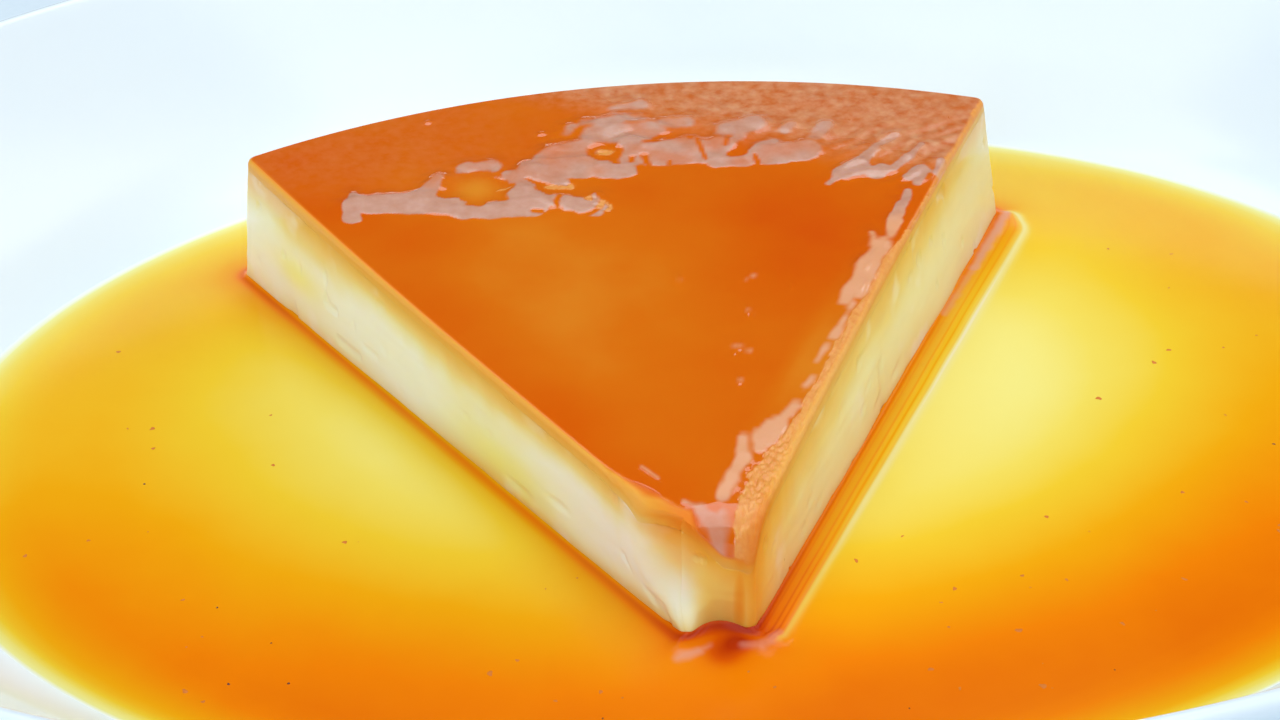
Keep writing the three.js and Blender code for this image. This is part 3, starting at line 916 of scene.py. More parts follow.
# ---- materials ----


def linear(code):
    """Linear RGB of an sRGB hex colour."""
    srgb = np.array([int(code[i : i + 2], 16) for i in (1, 3, 5)]) / 255
    return tuple(np.where(srgb <= 0.04045, srgb / 12.92, ((srgb + 0.055) / 1.055) ** 2.4))


def add_node(tree, kind, sockets=None, **settings):
    """Adds a shader node, sets its own settings, and sets or links its sockets, by name or number.
    A socket takes a number, an sRGB hex colour, another node's output, or a node, whose first
    output counts. A ramp's stops are pairs of a position and a hex colour."""
    node = tree.nodes.new("ShaderNode" + kind)
    for key, value in settings.items():
        if key != "stops":
            setattr(node, key, value)
            continue
        elements = node.color_ramp.elements
        for _ in value[2:]:
            elements.new(1)
        for element, (position, code) in zip(elements, value):
            element.position = position
            element.color = (*linear(code), 1)
    for key, value in (sockets or {}).items():
        named = [s for s in node.inputs if s.enabled and s.name == key]
        socket = named[0] if named else node.inputs[key]
        if isinstance(value, bpy.types.Node):
            value = next(s for s in value.outputs if s.enabled)
        if isinstance(value, bpy.types.NodeSocket):
            tree.links.new(value, socket)
        else:
            socket.default_value = (*linear(value), 1) if isinstance(value, str) else value
    return node


def new_material(name):
    """An empty node material, a function that adds nodes to it, and its Object coordinates."""
    material = bpy.data.materials.new(name)
    material.use_nodes = True
    material.node_tree.nodes.clear()
    add = partial(add_node, material.node_tree)
    return material, add, add("TexCoord").outputs["Object"]


def glazed_porcelain(settings):
    """Hard-paste porcelain, dipped in clear glaze and fired: a dense cool white under glass, with
    a faint orange-peel waviness, and the bare biscuit showing where the foot was wiped."""
    material, add, place = new_material("glazed_porcelain")
    cloud = add("TexNoise", {"Vector": place, "Scale": 1 / (60 * MM)})
    wave = add("TexNoise", {"Vector": place, "Scale": 1 / (7 * MM), "Detail": 1})
    grit = add("TexNoise", {"Vector": place, "Scale": 1 / (0.5 * MM), "Detail": 4})
    height = add("SeparateXYZ", {0: place}).outputs["Z"]
    wiped = {"Value": height, "From Min": 0.9 * MM, "From Max": 0.4 * MM}
    foot = add("MapRange", wiped, interpolation_type="SMOOTHSTEP")
    glaze = {"Factor": cloud, "A": "#ECF6FC", "B": (*settings.glaze_colour, 1)}
    glaze = add("Mix", glaze, data_type="RGBA")
    biscuit = add("Mix", {"Factor": grit, "A": "#CFC8BC", "B": "#E6E1D8"}, data_type="RGBA")
    colour = add("Mix", {"Factor": foot, "A": glaze, "B": biscuit}, data_type="RGBA")
    rough = add("Math", {0: foot, 1: 0.6, 2: settings.glaze_roughness}, operation="MULTIPLY_ADD")
    grit = add("Math", {0: grit, 1: foot}, operation="MULTIPLY")
    relief = add("Math", {0: grit, 1: 0.3, 2: wave}, operation="MULTIPLY_ADD")
    normal = add("Bump", {"Height": relief, "Strength": 0.12, "Distance": 0.2 * MM})
    sockets = {"Base Color": colour, "Roughness": rough, "IOR": 1.5, "Normal": normal}
    add("OutputMaterial", {"Surface": add("BsdfPrincipled", sockets)})
    return material


CUSTARD_STOPS = [  # stain and colour
    (0.0, "#F3F6E8"),
    (0.2, "#F0EDC3"),
    (0.4, "#EED98F"),
    (0.55, "#EEC878"),
    (0.7, "#EDB757"),
    (0.85, "#EBA03A"),
    (1.0, "#E37C18"),
]


def set_custard(settings):
    """Baked custard of eggs and milk, turned out and cut with a wet knife: a smooth translucent
    gel with a wet skin, stained amber from above, with paler and yellow patches."""
    material, add, place = new_material("set_custard")
    soaked = add("Attribute", attribute_name="stain").outputs["Fac"]
    yellow = add("Attribute", attribute_name="yolk").outputs["Fac"]
    cloud = add("TexNoise", {"Vector": place, "Scale": 1 / (13 * MM), "Detail": 3})
    paler_patches = add("TexNoise", {"Vector": place, "Scale": 1 / (9 * MM)})
    wet = add("TexNoise", {"Vector": place, "Scale": 1 / (5 * MM)})
    grain = add("TexNoise", {"Vector": place, "Scale": 1 / (0.8 * MM), "Detail": 3})
    patch = add("Math", {0: cloud, 1: 0.14, 2: -0.07}, operation="MULTIPLY_ADD")
    soaked = add("Math", {0: soaked, 1: patch}, operation="ADD")
    colour = add("ValToRGB", {0: soaked}, stops=CUSTARD_STOPS)
    paler_patches = {"Value": paler_patches, "From Min": 0.56, "From Max": 0.72, "To Max": 0.5}
    paler_patches = add("MapRange", paler_patches, interpolation_type="SMOOTHSTEP")
    colour = {"Factor": paler_patches, "A": colour, "B": "#F5F3E6"}
    colour = add("Mix", colour, data_type="RGBA", blend_type="LIGHTEN")
    colour = {"Factor": yellow, "A": colour, "B": "#FFFAB4"}
    colour = add("Mix", colour, data_type="RGBA", blend_type="MULTIPLY")
    rough = add("Math", {0: wet, 1: 0.25, 2: 0.22}, operation="MULTIPLY_ADD")
    relief = add("Math", {0: grain, 1: 0.35, 2: wet}, operation="MULTIPLY_ADD")
    shader = add("BsdfPrincipled", {
        "Base Color": colour,
        "Roughness": rough,
        "IOR": 1.4,
        "Subsurface Weight": 0.35,
        "Subsurface Radius": (1.0, 0.8, 0.5),
        "Subsurface Scale": settings.custard_glow,
        "Coat Weight": 0.35,
        "Coat Roughness": 0.12,
        "Normal": add("Bump", {"Height": relief, "Strength": 0.25, "Distance": 0.12 * MM}),
    })
    add("OutputMaterial", {"Surface": shader})
    return material


FILM_STOPS = [  # thickness and colour
    (0.0, "#DE8820"),
    (0.35, "#D96D08"),
    (0.7, "#D65C00"),
    (1.0, "#D24A00"),
]
FILM_ROUGHNESS = 0.05


def caramel_film(settings):
    """Dark caramel that has melted to a liquid film over the baked skin: a mirror where the film
    lies, satin and browner where the skin stands out of it, with a pale lilac painted reflection
    on its bare plates, and stained custard at the sides."""
    material, add, place = new_material("caramel_film")
    share = {}
    for name in ("film", "ribbon", "skin", "bare", "grains", "side", "stain", "dull", "matt"):
        share[name] = add("Attribute", attribute_name=name).outputs["Fac"]
    cloud = add("TexNoise", {"Vector": place, "Scale": 1 / (16 * MM), "Detail": 3})
    fleck = add("TexNoise", {"Vector": place, "Scale": 1 / (1.6 * MM), "Detail": 4})
    grain = add("TexNoise", {"Vector": place, "Scale": 1 / (0.7 * MM)})
    cloud = add("Math", {0: cloud, 1: 0.5}, operation="SUBTRACT")
    thickness = add("Math", {0: cloud, 1: 0.5, 2: share["film"]}, operation="MULTIPLY_ADD")
    mottled = add("MapRange", {"Value": fleck, "From Min": 0.3, "From Max": 0.7})
    baked = add("Mix", {"Factor": mottled, "A": "#C06226", "B": "#D69A70"}, data_type="RGBA")
    # Pale lilac of the bare plates: brown skin with a painted reflection of the light.
    wet = add("Mix", {"Factor": fleck, "A": "#BC8062", "B": "#D2A592"}, data_type="RGBA")
    # Lighter and creamier along the right cut: more painted sheen.
    wet = add("Mix", {"Factor": share["ribbon"], "A": wet, "B": "#E2A074"}, data_type="RGBA")
    crust = add("Mix", {"Factor": grain, "A": "#D97620", "B": "#EBAA54"}, data_type="RGBA")
    custard = add("ValToRGB", {0: share["stain"]}, stops=CUSTARD_STOPS)
    colour = add("ValToRGB", {0: thickness}, stops=FILM_STOPS)
    for name, layer in (("skin", baked), ("bare", wet), ("grains", crust), ("side", custard)):
        colour = add("Mix", {"Factor": share[name], "A": colour, "B": layer}, data_type="RGBA")
    rough = {0: share["dull"], 1: settings.skin_roughness, 2: FILM_ROUGHNESS}
    rough = add("Math", rough, operation="MULTIPLY_ADD")
    gloss = add("Math", {0: share["matt"], 1: -0.5, 2: 0.65}, operation="MULTIPLY_ADD")
    relief = add("Math", {0: fleck, 1: share["dull"]}, operation="MULTIPLY")
    shader = add("BsdfPrincipled", {
        "Base Color": colour,
        "Roughness": rough,
        "IOR": 1.46,
        "Specular IOR Level": gloss,
        "Subsurface Weight": 0.15,
        "Subsurface Radius": (1.0, 0.4, 0.1),
        "Subsurface Scale": settings.custard_glow,
        "Normal": add("Bump", {"Height": relief, "Strength": 0.5, "Distance": 0.15 * MM}),
    })
    add("OutputMaterial", {"Surface": shader})
    return material


SAUCE_STOPS = [  # optical depth and colour
    (0.0, "#EEF6FA"),
    (0.1, "#E9E592"),
    (0.3, "#E8D25A"),
    (0.5, "#E9C22E"),
    (0.9, "#EAA20A"),
    (1.5, "#EA7C01"),
    (2.2, "#D45200"),
    (3.0, "#B43004"),
]
DEEPEST = SAUCE_STOPS[-1][0]


def caramel_syrup():
    """Thin caramel syrup over white porcelain: the deeper it lies the less green and blue come
    back, so it runs from pale yellow to deep orange under a clear, still, glossy surface."""
    material, add, place = new_material("caramel_syrup")
    depth = add("Attribute", attribute_name="depth").outputs["Fac"]
    smear = add("Attribute", attribute_name="smear").outputs["Fac"]
    cloud = add("TexNoise", {"Vector": place, "Scale": 1 / (22 * MM), "Detail": 3})
    cloud = add("Math", {0: cloud, 1: 0.5}, operation="SUBTRACT")
    uneven = add("Math", {0: cloud, 1: 0.35, 2: 1}, operation="MULTIPLY_ADD")
    depth = add("Math", {0: depth, 1: uneven}, operation="MULTIPLY")
    share = add("Math", {0: depth, 1: DEEPEST}, operation="DIVIDE")
    stops = [(position / DEEPEST, code) for position, code in SAUCE_STOPS]
    colour = add("ValToRGB", {0: share}, stops=stops)
    # Pinkish smears, partly custard and partly painted reflection, and the painted line of light's
    # tint.
    colour = add("Mix", {"Factor": smear, "A": colour, "B": "#DC9F8A"}, data_type="RGBA")
    sockets = {"Base Color": colour, "Roughness": 0.17, "IOR": 1.36, "Specular IOR Level": 0.22}
    add("OutputMaterial", {"Surface": add("BsdfPrincipled", sockets)})
    return material


def burnt_sugar():
    """Specks of burnt sugar: nearly black, glassy."""
    material, add, place = new_material("burnt_sugar")
    cloud = add("TexNoise", {"Vector": place, "Scale": 1 / (0.3 * MM)})
    colour = add("Mix", {"Factor": cloud, "A": "#2A0E04", "B": "#6B2A0C"}, data_type="RGBA")
    shader = add("BsdfPrincipled", {"Base Color": colour, "Roughness": 0.25})
    add("OutputMaterial", {"Surface": shader})
    return material


def skin_crumb():
    """Flakes of the baked brown skin, soaked in syrup."""
    material, add, place = new_material("skin_crumb")
    cloud = add("TexNoise", {"Vector": place, "Scale": 1 / (1.2 * MM)})
    colour = add("Mix", {"Factor": cloud, "A": "#C4600C", "B": "#D87E1C"}, data_type="RGBA")
    shader = add("BsdfPrincipled", {"Base Color": colour, "Roughness": 0.6})
    add("OutputMaterial", {"Surface": shader})
    return material


def paper_sweep(settings):
    """A wide sheet of pale studio paper, matt with a faint tooth."""
    material, add, place = new_material("paper_sweep")
    tooth = add("TexNoise", {"Vector": place, "Scale": 1 / (1.5 * MM), "Detail": 4})
    paper = {"Factor": tooth, "A": "#D3E4EF", "B": (*settings.floor_colour, 1)}
    colour = add("Mix", paper, data_type="RGBA")
    normal = add("Bump", {"Height": tooth, "Strength": 0.2, "Distance": 0.1 * MM})
    sockets = {"Base Color": colour, "Roughness": 0.7, "Normal": normal}
    add("OutputMaterial", {"Surface": add("BsdfPrincipled", sockets)})
    return material


# ---- settings ----


def colour_setting(name, description, code):
    """A colour among the settings, with the sRGB hex that it starts from."""
    return FloatVectorProperty(
        name=name,
        description=description,
        subtype="COLOR",
        size=3,
        min=0,
        max=1,
        default=linear(code),
    )


def share_setting(name, description, default):
    """A setting from 0 to 1."""
    return FloatProperty(
        name=name,
        description=description,
        subtype="FACTOR",
        min=0,
        max=1,
        default=default,
    )


def length_setting(name, description, default):
    """A length in metres among the settings."""
    return FloatProperty(
        name=name,
        description=description,
        subtype="DISTANCE",
        unit="LENGTH",
        min=0,
        default=default,
    )


def count_setting(name, description, default):
    """A number of small pieces among the settings."""
    return IntProperty(name=name, description=description, min=0, default=default)


class FlanPlateSettings(PropertyGroup):
    """The plate's finish."""

    glaze_colour: colour_setting("Glaze", "Colour of the glazed porcelain", "#E4F2FB")
    glaze_roughness: share_setting("Glaze roughness", "How dull the glaze is", 0.14)


class FlanSliceSettings(PropertyGroup):
    """The custard and its caramel skin."""

    custard_glow: length_setting("Custard glow", "How far light travels in the custard", 2.2 * MM)
    skin_roughness: share_setting("Skin roughness", "How dull the bare baked skin is", 0.34)


class FlanSauceSettings(PropertyGroup):
    """What floats in the pool of sauce."""

    flecks: count_setting("Flecks", "Number of brown flecks in the sauce", 80)
    specks: count_setting("Specks", "Number of dark burnt specks in the sauce", 10)
    seed: IntProperty(name="Seed", description="Seed of their places", default=5)


class FlanStageSettings(PropertyGroup):
    """The floor and the camera."""

    floor_size: length_setting("Floor", "Side of the square floor", 8.0)
    floor_colour: colour_setting("Floor colour", "Colour of the paper floor", "#DCEBF4")
    camera_place: FloatVectorProperty(
        name="Camera",
        description="Where the camera stands",
        subtype="XYZ",
        unit="LENGTH",
        size=3,
        default=(-0.03218, -0.22674, 0.1648),
    )
    lens: FloatProperty(
        name="Lens",
        description="Focal length in millimetres",
        unit="CAMERA",
        default=56.25,
    )


# ---- operators ----


class FLAN_OT_plate(Operator):
    """Make the oval plate"""

    bl_idname = "flan.make_plate"
    bl_label = "Make Plate"

    def execute(self, context):
        r, z = plate_profile()
        angle = np.arange(PLATE_SEGMENTS) * 2 * pi / PLATE_SEGMENTS
        x = r[:, None] * np.cos(angle)
        y = r[:, None] * np.sin(angle) * PLATE_WIDTH / PLATE_LENGTH
        points = np.stack(np.broadcast_arrays(x, y, z[:, None]), axis=-1)
        piece = mesh_piece("plate_porcelain", [(points, True, True)])
        finish_piece(piece, glazed_porcelain(context.scene.flan_plate), "porcelain", "plate")
        return {"FINISHED"}


class FLAN_OT_custard(Operator):
    """Make the custard under the caramel skin"""

    bl_idname = "flan.make_custard"
    bl_label = "Make Custard"

    def execute(self, context):
        levels = np.linspace(0, 1, WALL_LEVELS + 1)
        *wall, way = wall_points(levels, bed_under, stained_underside)
        top = cap([part[-1] for part in wall], stained_underside)
        under = cap([part[0] for part in wall], bed_under)
        patches = [
            (to_frame(*wall), True, False),
            (to_frame(*top), True, False),
            (to_frame(*under), True, True),
        ]
        clean = np.zeros(top[0].size)
        values = {
            "stain": joined(stain(*wall, way), clean + TOP_STAIN, clean),
            "yolk": joined(yolk(*wall), clean, clean),
        }
        piece = mesh_piece("custard_body", patches, values, sharp=50)
        finish_piece(piece, set_custard(context.scene.flan_slice), "custard", "custard")
        return {"FINISHED"}


class FLAN_OT_skin(Operator):
    """Make the caramel-soaked skin on top"""

    bl_idname = "flan.make_skin"
    bl_label = "Make Caramel Skin"

    def execute(self, context):
        across, along = np.meshgrid(2 * crowded(ACROSS_STEPS) - 1, along_steps())
        x, y = slice_plan(across, along, np.full(across.shape, REAR_HEIGHT))
        for _ in range(LEAN_TURNS):
            z = skin_top(x, y, across, along)
            x, y = slice_plan(across, along, z)
        *wall, way = self.sides((x, y, z))
        under = cap([part[0] for part in wall], stained_underside)
        patches = [
            (to_frame(x, y, z), False, False),
            (to_frame(*wall), True, False),
            (to_frame(*under), True, True),
        ]
        on_sides = {"film": 0.5, "dull": 1, "matt": 1, "side": 1, "stain": stain(*wall, way)}
        values = {}
        for key, grid in self.shades(x, y, z, across, along).items():
            side = on_sides.get(key, 0) + 0 * wall[0]
            values[key] = joined(grid, side, np.zeros(under[0].size))
        piece = mesh_piece("caramel_skin", patches, values, sharp=60)
        finish_piece(piece, caramel_film(context.scene.flan_slice), "caramel_skin", "caramel_top")
        return {"FINISHED"}

    @staticmethod
    def sides(top):
        """The skin's upright faces as loops, up to the boundary of the top, in the outline's
        order, and the way round them."""
        edge = [np.concatenate([g[0, :-1], g[:-1, -1], g[-1, :0:-1], g[:0:-1, 0]]) for g in top]
        x, y, z, way = wall_points(np.array(SKIN_PLANS), stained_underside, rolled_under_edge)
        z = lerp(z[:1], edge[2], np.array(SKIN_LEVELS)[:, None])
        loops = [np.concatenate([loop, last[None]]) for loop, last in zip((x, y, z), edge)]
        return *loops, np.broadcast_to(way[0], loops[0].shape)

    def shades(self, x, y, z, across, along):
        """What the material reads at each point of the top: the film's thickness, the shares of
        bare skin, whose pale lilac is a painted reflection, dull skin, granular crust and a
        lighter painted sheen on the plates along the right cut, how dull and how matt it is, and
        the stained custard that shows at the edges."""
        blur = smoothstep(y, 82 * MM, 100 * MM) + 0.6 * smoothstep(y, 66 * MM, 62 * MM)
        # The bare plates, whose colour carries a painted reflection.
        bare = smoothstep(islands(x, y)[0], -0.2 * MM, lerp(0.1, 0.9, blur) * MM)
        on_tip = smoothstep(y, 13 * MM, 11 * MM)
        bare = bare * (1 - on_tip * (0.35 + 0.5 * smoothstep(x, 0.3 * MM, 2.2 * MM)))
        worn = 0.78 + 0.35 * noise(x - 0.6 * y, y + 0.6 * x, 3 * MM, 15)
        bare = bare * lerp(1, worn, smoothstep(y, 80 * MM, 86 * MM))
        grains = smoothstep(granular_strip(x, y), -0.05 * MM, 0.3 * MM) * (1 - bare)
        skin = dry_skin(x, y)
        side, matt, least = self.edges(x, y, across, along)
        return {
            "film": self.film(x, y),
            "bare": bare,
            "skin": skin,
            "grains": grains,
            "ribbon": smoothstep(y, 70 * MM, 64 * MM) * smoothstep(y, 10 * MM, 14 * MM),
            "dull": np.maximum.reduce([0.4 * bare, (1 - bare) * skin, grains, matt]),
            "matt": matt,
            "side": side,
            "stain": np.maximum(stain(x, y, z, x + y), least),
        }

    @staticmethod
    def film(x, y):
        """Thickness of the film: thin and golden at the left middle and in the large pit, deep at
        the right."""
        deep = 0.32 * bump(away_from(x, y, 20, 64), 17 * MM)
        thin = 0.36 * bump(np.hypot(x + 11 * MM, (y - 54 * MM) * 0.8), 17 * MM)
        pit = 0.5 * bump(away_from(x, y, -23.4, 82.6), 3.4 * MM)
        left = 0.16 * bump(x + y * 0.55, 7 * MM)
        shoulder = bump(y - 38 * MM, 16 * MM) * smoothstep(from_right_cut(x, y), 8 * MM, 4.5 * MM)
        depth = 0.52 + deep - thin - pit + left - 0.35 * shoulder
        return depth + 0.06 * noise(x, y, 8 * MM, 81)

    @staticmethod
    def edges(x, y, across, along):
        """Share of stained custard that shows at the edges: a soft band on the left, wider round
        the nose, and thin ones on the right and rear. How matt the top is: these bands and the
        roll of the nose left of its middle. And the least stain in the bands."""
        left, right, rear = from_edges(x, y, across, along)
        left = (left + 0.5 * MM * noise(x, y, 1.9 * MM, 82) * near_tip(y)) / left_band(y)
        soft = smoothstep(left, 1, lerp(0.25, 0.6, near_tip(y)))
        right = smoothstep(right, lerp(0.7, 1.7, near_tip(y * 0.5)) * MM, 0)
        rear = smoothstep(rear, 0.6 * MM, 0.1 * MM)
        share = np.maximum.reduce([soft, 0.7 * right, 0.5 * rear])
        fallen = smoothstep(straight_top(x, y) - rolled_top(x, y), 0.005 * MM, 0.06 * MM)
        matt = np.maximum(share, fallen * smoothstep(x, -1.6 * MM, -2.6 * MM))
        on_left = lerp(0.64, 1, np.clip(1.5 * left, 0, 1))
        on_right = lerp(0.85, 0.66, smoothstep(y, 60 * MM, 30 * MM))
        return share, matt, np.where(across > 0, on_right, on_left)


class FLAN_OT_sauce(Operator):
    """Make the pool of sauce round the slice"""

    bl_idname = "flan.make_sauce"
    bl_label = "Make Sauce"

    def execute(self, context):
        x, y, distance = self.loops(wetted_height, NEAR_LOOPS, FAR_LOOPS)
        top = (x, y, self.height(x, y, distance))
        bx, by, _ = self.loops(bed_under, UNDER_NEAR_LOOPS, UNDER_FAR_LOOPS)
        under = (bx, by, np.minimum(bed_under(bx, by), 0))
        wall = [np.stack([a[0], b[0]]) for a, b in zip(top, under)]
        edge = [np.stack([b[-1], a[-1]]) for a, b in zip(top, under)]
        patches = [
            (to_frame(*top), True, True),
            (to_frame(*under), True, False),
            (to_frame(*wall), True, False),
            (to_frame(*edge), True, False),
        ]
        values = {}
        for key, grid in self.shades(x, y, distance).items():
            values[key] = joined(grid, np.zeros(bx.size), grid[0], grid[0], grid[-1], grid[-1])
        piece = mesh_piece("caramel_pool", patches, values, sharp=60)
        finish_piece(piece, caramel_syrup(), "caramel_sauce", "caramel_sauce")
        return {"FINISHED"}

    @staticmethod
    def loops(height, near, far):
        """Loops out from the slice's foot: at fixed distances, then at shares of the way to the
        pool's edge. Gives x, y and the distance from the foot."""
        x, y, nx, ny = sauce_wall(height)
        x, y = x - nx * SAUCE_INSET, y - ny * SAUCE_INSET
        near = near[:, None] + 0 * x
        x, y = x + nx * near, y + ny * near
        ex, ey = pool_edge(x[-1], y[-1])
        fx, fy = lerp(x[-1], ex, far[:, None]), lerp(y[-1], ey, far[:, None])
        beyond = near[-1] + np.hypot(fx - x[-1], fy - y[-1])
        distance = np.concatenate([near, beyond]) - SAUCE_INSET
        return np.concatenate([x, fx]), np.concatenate([y, fy]), distance

    @staticmethod
    def height(x, y, distance):
        """Height over the sauce's level: a climb at the slice, wider round the nose, a swollen
        bead on the right and round drops before the nose."""
        right, nose, turn = foot_shares()
        out = np.maximum(distance, 0)
        climb = MENISCUS_RISE * np.exp(-out / MENISCUS_REACH)
        climb = climb + NOSE_MENISCUS_RISE * nose * bump(out, NOSE_MENISCUS_REACH)
        for dx, dy, radius, rise, _ in DROPS:
            climb = climb + rise * MM * bump(away_from(x, y, dx, dy), radius * MM)
        return climb + BEAD_RISE * right * bump(distance - BEAD_OFFSET * turn, BEAD_WIDTH)

    @staticmethod
    def shades(x, y, distance):
        """Optical depth, with the foot of the slice darkened by deeper sauce and a painted shade,
        the nose's meniscus thick and partly painted shade, the drops, and the streaks beside the
        right cut, which are painted reflections of the cut face; and the share of pinkish smear,
        partly custard and partly painted reflection, which also tints the painted line of light."""
        right, nose, turn = foot_shares()
        d, out = distance / MM, np.maximum(distance, 0) / MM
        # At the foot, deeper sauce in the meniscus and a painted shade of the slice that fades out
        # over 3 mm.
        foot = 0.5 * bump(d - 0.7, 0.8) + np.exp(-out / 3)
        foot = foot * (0.6 + 0.4 * smoothstep(d, 0, 0.6))
        # Round the nose, thick sauce in the meniscus, partly painted shade.
        dark = nose * (0.45 * bump(d - 0.4, 0.9) + 0.3 * np.exp(-out / 2.5))
        for dx, dy, radius, _, added in DROPS:
            dark = dark + added * bump(away_from(x, y, dx, dy), radius * MM)
        back = np.clip(np.hypot(x, y) / PAN_RADIUS, 0, 1)
        line = lerp(PAINTED_LIGHT_LINE_START, PAINTED_LIGHT_LINE_END, back) + 0.08 * noise(x, y, 9 * MM, 91)
        line = line * turn
        # The bead's band: deeper sauce, with painted reflections of the cut face, darker by the
        # foot.
        lines = smoothstep(d, line, line - 0.5) * (0.35 + 0.7 * np.exp(-out / 1.3))
        lines = lines + 0.18 * np.exp(-out / 9)
        for share, width, depth in PAINTED_REFLECTION_STREAKS:
            lines = lines + lerp(1, 0.45, back) * depth * bump(d - share * line, width)
        # The painted line of light: less depth, and a pinkish tint.
        pale = right * bump(d - line, lerp(PAINTED_LIGHT_LINE_WIDTH, PAINTED_LIGHT_LINE_REAR_WIDTH, back))
        depth = optical_depth(x, y) + lerp(foot, lines, right) + dark
        return {
            "depth": depth * (1 - lerp(0.45, 0.8, back) * pale),
            "smear": np.maximum(0.22 * pale, smears_and_painted_sheen(x, y)),
        }


class FLAN_OT_flecks(Operator):
    """Scatter skin crumbs and burnt specks over the sauce"""

    bl_idname = "flan.make_flecks"
    bl_label = "Make Flecks"

    def execute(self, context):
        settings = context.scene.flan_sauce
        random = np.random.default_rng(settings.seed)
        crumbs = self.places(random, settings.flecks)
        piece = self.scatter("skin_crumbs", random, crumbs, (0.1 * MM, 0.42 * MM), 0.1)
        finish_piece(piece, skin_crumb(), "caramel_skin")
        specks = self.places(random, settings.specks)
        piece = self.scatter("burnt_specks", random, specks, (0.1 * MM, 0.22 * MM), 0.5)
        finish_piece(piece, burnt_sugar(), "caramel_sauce")
        return {"FINISHED"}

    @staticmethod
    def places(random, count):
        """Random points on the sauce, clear of the slice and the pool's edge, and most of them
        where the caramel has settled."""
        tries = count * FLECK_TRIES
        angle = random.uniform(0, 2 * pi, tries)
        radius = np.sqrt(random.uniform(0.1, 0.86, tries)) * pool_radius()
        x = radius * np.cos(angle)
        y = radius * np.sin(angle) * PLATE_WIDTH / PLATE_LENGTH
        sx, sy = x - PAN_AXIS[0], y - PAN_AXIS[1]
        turn = np.degrees(np.arctan2(sx, sy))
        on_slice = (np.abs(turn) < CLEAR_ANGLE) & (np.hypot(sx, sy) < CLEAR_REACH)
        settled = optical_depth(sx, sy) > random.uniform(0.2, 1.5, tries)
        keep = np.where(~on_slice & settled)[0][:count]
        return np.stack([x[keep], y[keep], np.full(len(keep), SAUCE_LEVEL)], axis=-1)

    @staticmethod
    def scatter(name, random, places, sizes, tall):
        """Uneven low grains: each is a flattened ball whose outline swells by random lobes, and
        all are joined in one mesh."""
        count = len(places)
        angle = np.arange(FLECK_SEGMENTS) * 2 * pi / FLECK_SEGMENTS
        size = random.uniform(*sizes, (count, 1, 1))
        phase = random.uniform(0, 2 * pi, (count, 3, 1, 1))
        lobes = 1 + sum(0.2 * np.cos((k + 1) * angle + phase[:, k]) for k in range(3))
        tilt = np.linspace(-pi / 2, pi / 2, FLECK_RINGS)[:, None]
        stretch = random.uniform(0.5, 1, (count, 1, 1))
        x = size * lobes * np.cos(tilt) * np.cos(angle)
        y = size * lobes * np.cos(tilt) * np.sin(angle) * stretch
        z = size * tall * np.sin(tilt) + 0 * angle
        turn = random.uniform(0, 2 * pi, (count, 1, 1))
        x, y = x * np.cos(turn) - y * np.sin(turn), x * np.sin(turn) + y * np.cos(turn)
        points = np.stack(np.broadcast_arrays(x, y, z), axis=-1) + places[:, None, None, :]
        return mesh_piece(name, [(p, True, False) for p in points])


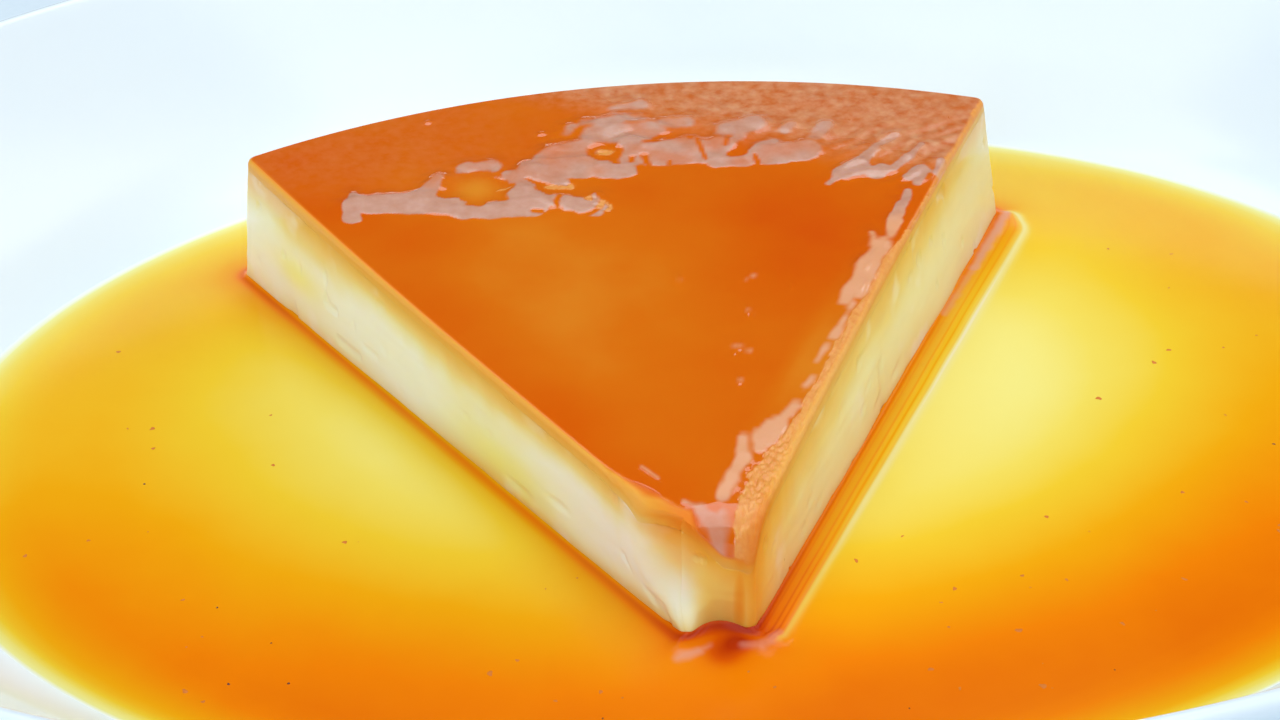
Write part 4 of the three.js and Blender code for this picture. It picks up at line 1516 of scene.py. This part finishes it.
class FLAN_OT_stage(Operator):
    """Make the floor, the lights, the world and the camera"""

    bl_idname = "flan.make_stage"
    bl_label = "Make Stage"

    def execute(self, context):
        settings = context.scene.flan_stage
        self.floor(settings)
        self.lights()
        self.world(context.scene)
        self.camera(context.scene, settings)
        context.scene.view_settings.view_transform = "Standard"
        return {"FINISHED"}

    @staticmethod
    def floor(settings):
        """A square sheet under the plate, which is stage and no part of the object."""
        half = settings.floor_size / 2
        mesh = bpy.data.meshes.new("paper_floor")
        corners = [(-half, -half, 0), (half, -half, 0), (half, half, 0), (-half, half, 0)]
        mesh.from_pydata(corners, [], [(0, 1, 2, 3)])
        floor = bpy.data.objects.new("paper_floor", mesh)
        bpy.context.scene.collection.objects.link(floor)
        mesh.materials.append(paper_sweep(settings))

    @staticmethod
    def lights():
        """Soft boxes: azimuth from +Y towards +X, elevation, distance, size, radiance, colour."""
        boxes = [
            ("rear_top_box", 0, 70, 1.4, (1.1, 1.0), 2.7, "#F4FAFF"),
            ("front_top_box", 185, 72, 1.5, (1.7, 1.0), 2.0, "#FFFFFF"),
            ("left_box", -135, 28, 1.5, (1.4, 0.8), 3.2, "#DDEEFF"),
            ("right_box", 100, 35, 1.3, (1.0, 0.7), 2.2, "#FFFFFF"),
            ("right_rear_box", 64, 30, 1.3, (0.7, 0.5), 1.3, "#FFFFFF"),
        ]
        for name, azimuth, elevation, distance, size, radiance, colour in boxes:
            light = bpy.data.lights.new(name, "AREA")
            light.shape = "RECTANGLE"
            light.size, light.size_y = size
            light.energy = radiance * pi * size[0] * size[1]
            light.color = linear(colour)
            lamp = bpy.data.objects.new(name, light)
            a, e = radians(azimuth), radians(elevation)
            away = Vector((sin(a) * cos(e), cos(a) * cos(e), sin(e)))
            lamp.location = away * distance
            lamp.rotation_mode = "QUATERNION"
            lamp.rotation_quaternion = away.to_track_quat("Z", "Y")
            bpy.context.scene.collection.objects.link(lamp)

    @staticmethod
    def world(scene):
        """A dim pale room."""
        world = bpy.data.worlds.new("studio")
        world.use_nodes = True
        background = world.node_tree.nodes["Background"]
        background.inputs["Color"].default_value = (*linear("#E6F0F8"), 1)
        background.inputs["Strength"].default_value = 0.05
        scene.world = world

    @staticmethod
    def camera(scene, settings):
        """A close view from above the nose of the slice."""
        right = Vector((0.99306691, -0.11456063, -0.02634328))
        up = Vector((0.08438208, 0.53870707, 0.83825673))
        back = right.cross(up)
        data = bpy.data.cameras.new("camera")
        data.lens = settings.lens
        data.clip_start = 0.01
        camera = bpy.data.objects.new("camera", data)
        axes = Matrix((right, up, back)).transposed().to_4x4()
        camera.matrix_world = Matrix.Translation(settings.camera_place) @ axes
        scene.collection.objects.link(camera)
        scene.camera = camera


OPERATORS = (
    FLAN_OT_stage,
    FLAN_OT_plate,
    FLAN_OT_custard,
    FLAN_OT_skin,
    FLAN_OT_sauce,
    FLAN_OT_flecks,
)


class FLAN_PT_panel(Panel):
    """Buttons for each piece of the flan, with its settings"""

    bl_idname = "FLAN_PT_panel"
    bl_label = "Creme Caramel Flan"
    bl_space_type = "VIEW_3D"
    bl_region_type = "UI"
    bl_category = "Flan"

    def draw(self, context):
        for group in SETTINGS:
            box = self.layout.box()
            settings = getattr(context.scene, group)
            for name in settings.bl_rna.properties.keys():
                if name not in ("rna_type", "name"):
                    box.prop(settings, name)
        for operator in OPERATORS:
            self.layout.operator(operator.bl_idname)


SETTINGS = {
    "flan_plate": FlanPlateSettings,
    "flan_slice": FlanSliceSettings,
    "flan_sauce": FlanSauceSettings,
    "flan_stage": FlanStageSettings,
}
CLASSES = (*SETTINGS.values(), *OPERATORS, FLAN_PT_panel)


def register():
    for cls in CLASSES:
        bpy.utils.register_class(cls)
    for name, group in SETTINGS.items():
        setattr(bpy.types.Scene, name, PointerProperty(type=group))


def unregister():
    for name in SETTINGS:
        delattr(bpy.types.Scene, name)
    for cls in reversed(CLASSES):
        bpy.utils.unregister_class(cls)


def main():
    """Makes the stage and every piece."""
    register()
    bpy.ops.flan.make_stage()
    bpy.ops.flan.make_plate()
    bpy.ops.flan.make_custard()
    bpy.ops.flan.make_skin()
    bpy.ops.flan.make_sauce()
    bpy.ops.flan.make_flecks()


if __name__ == "__main__":
    main()
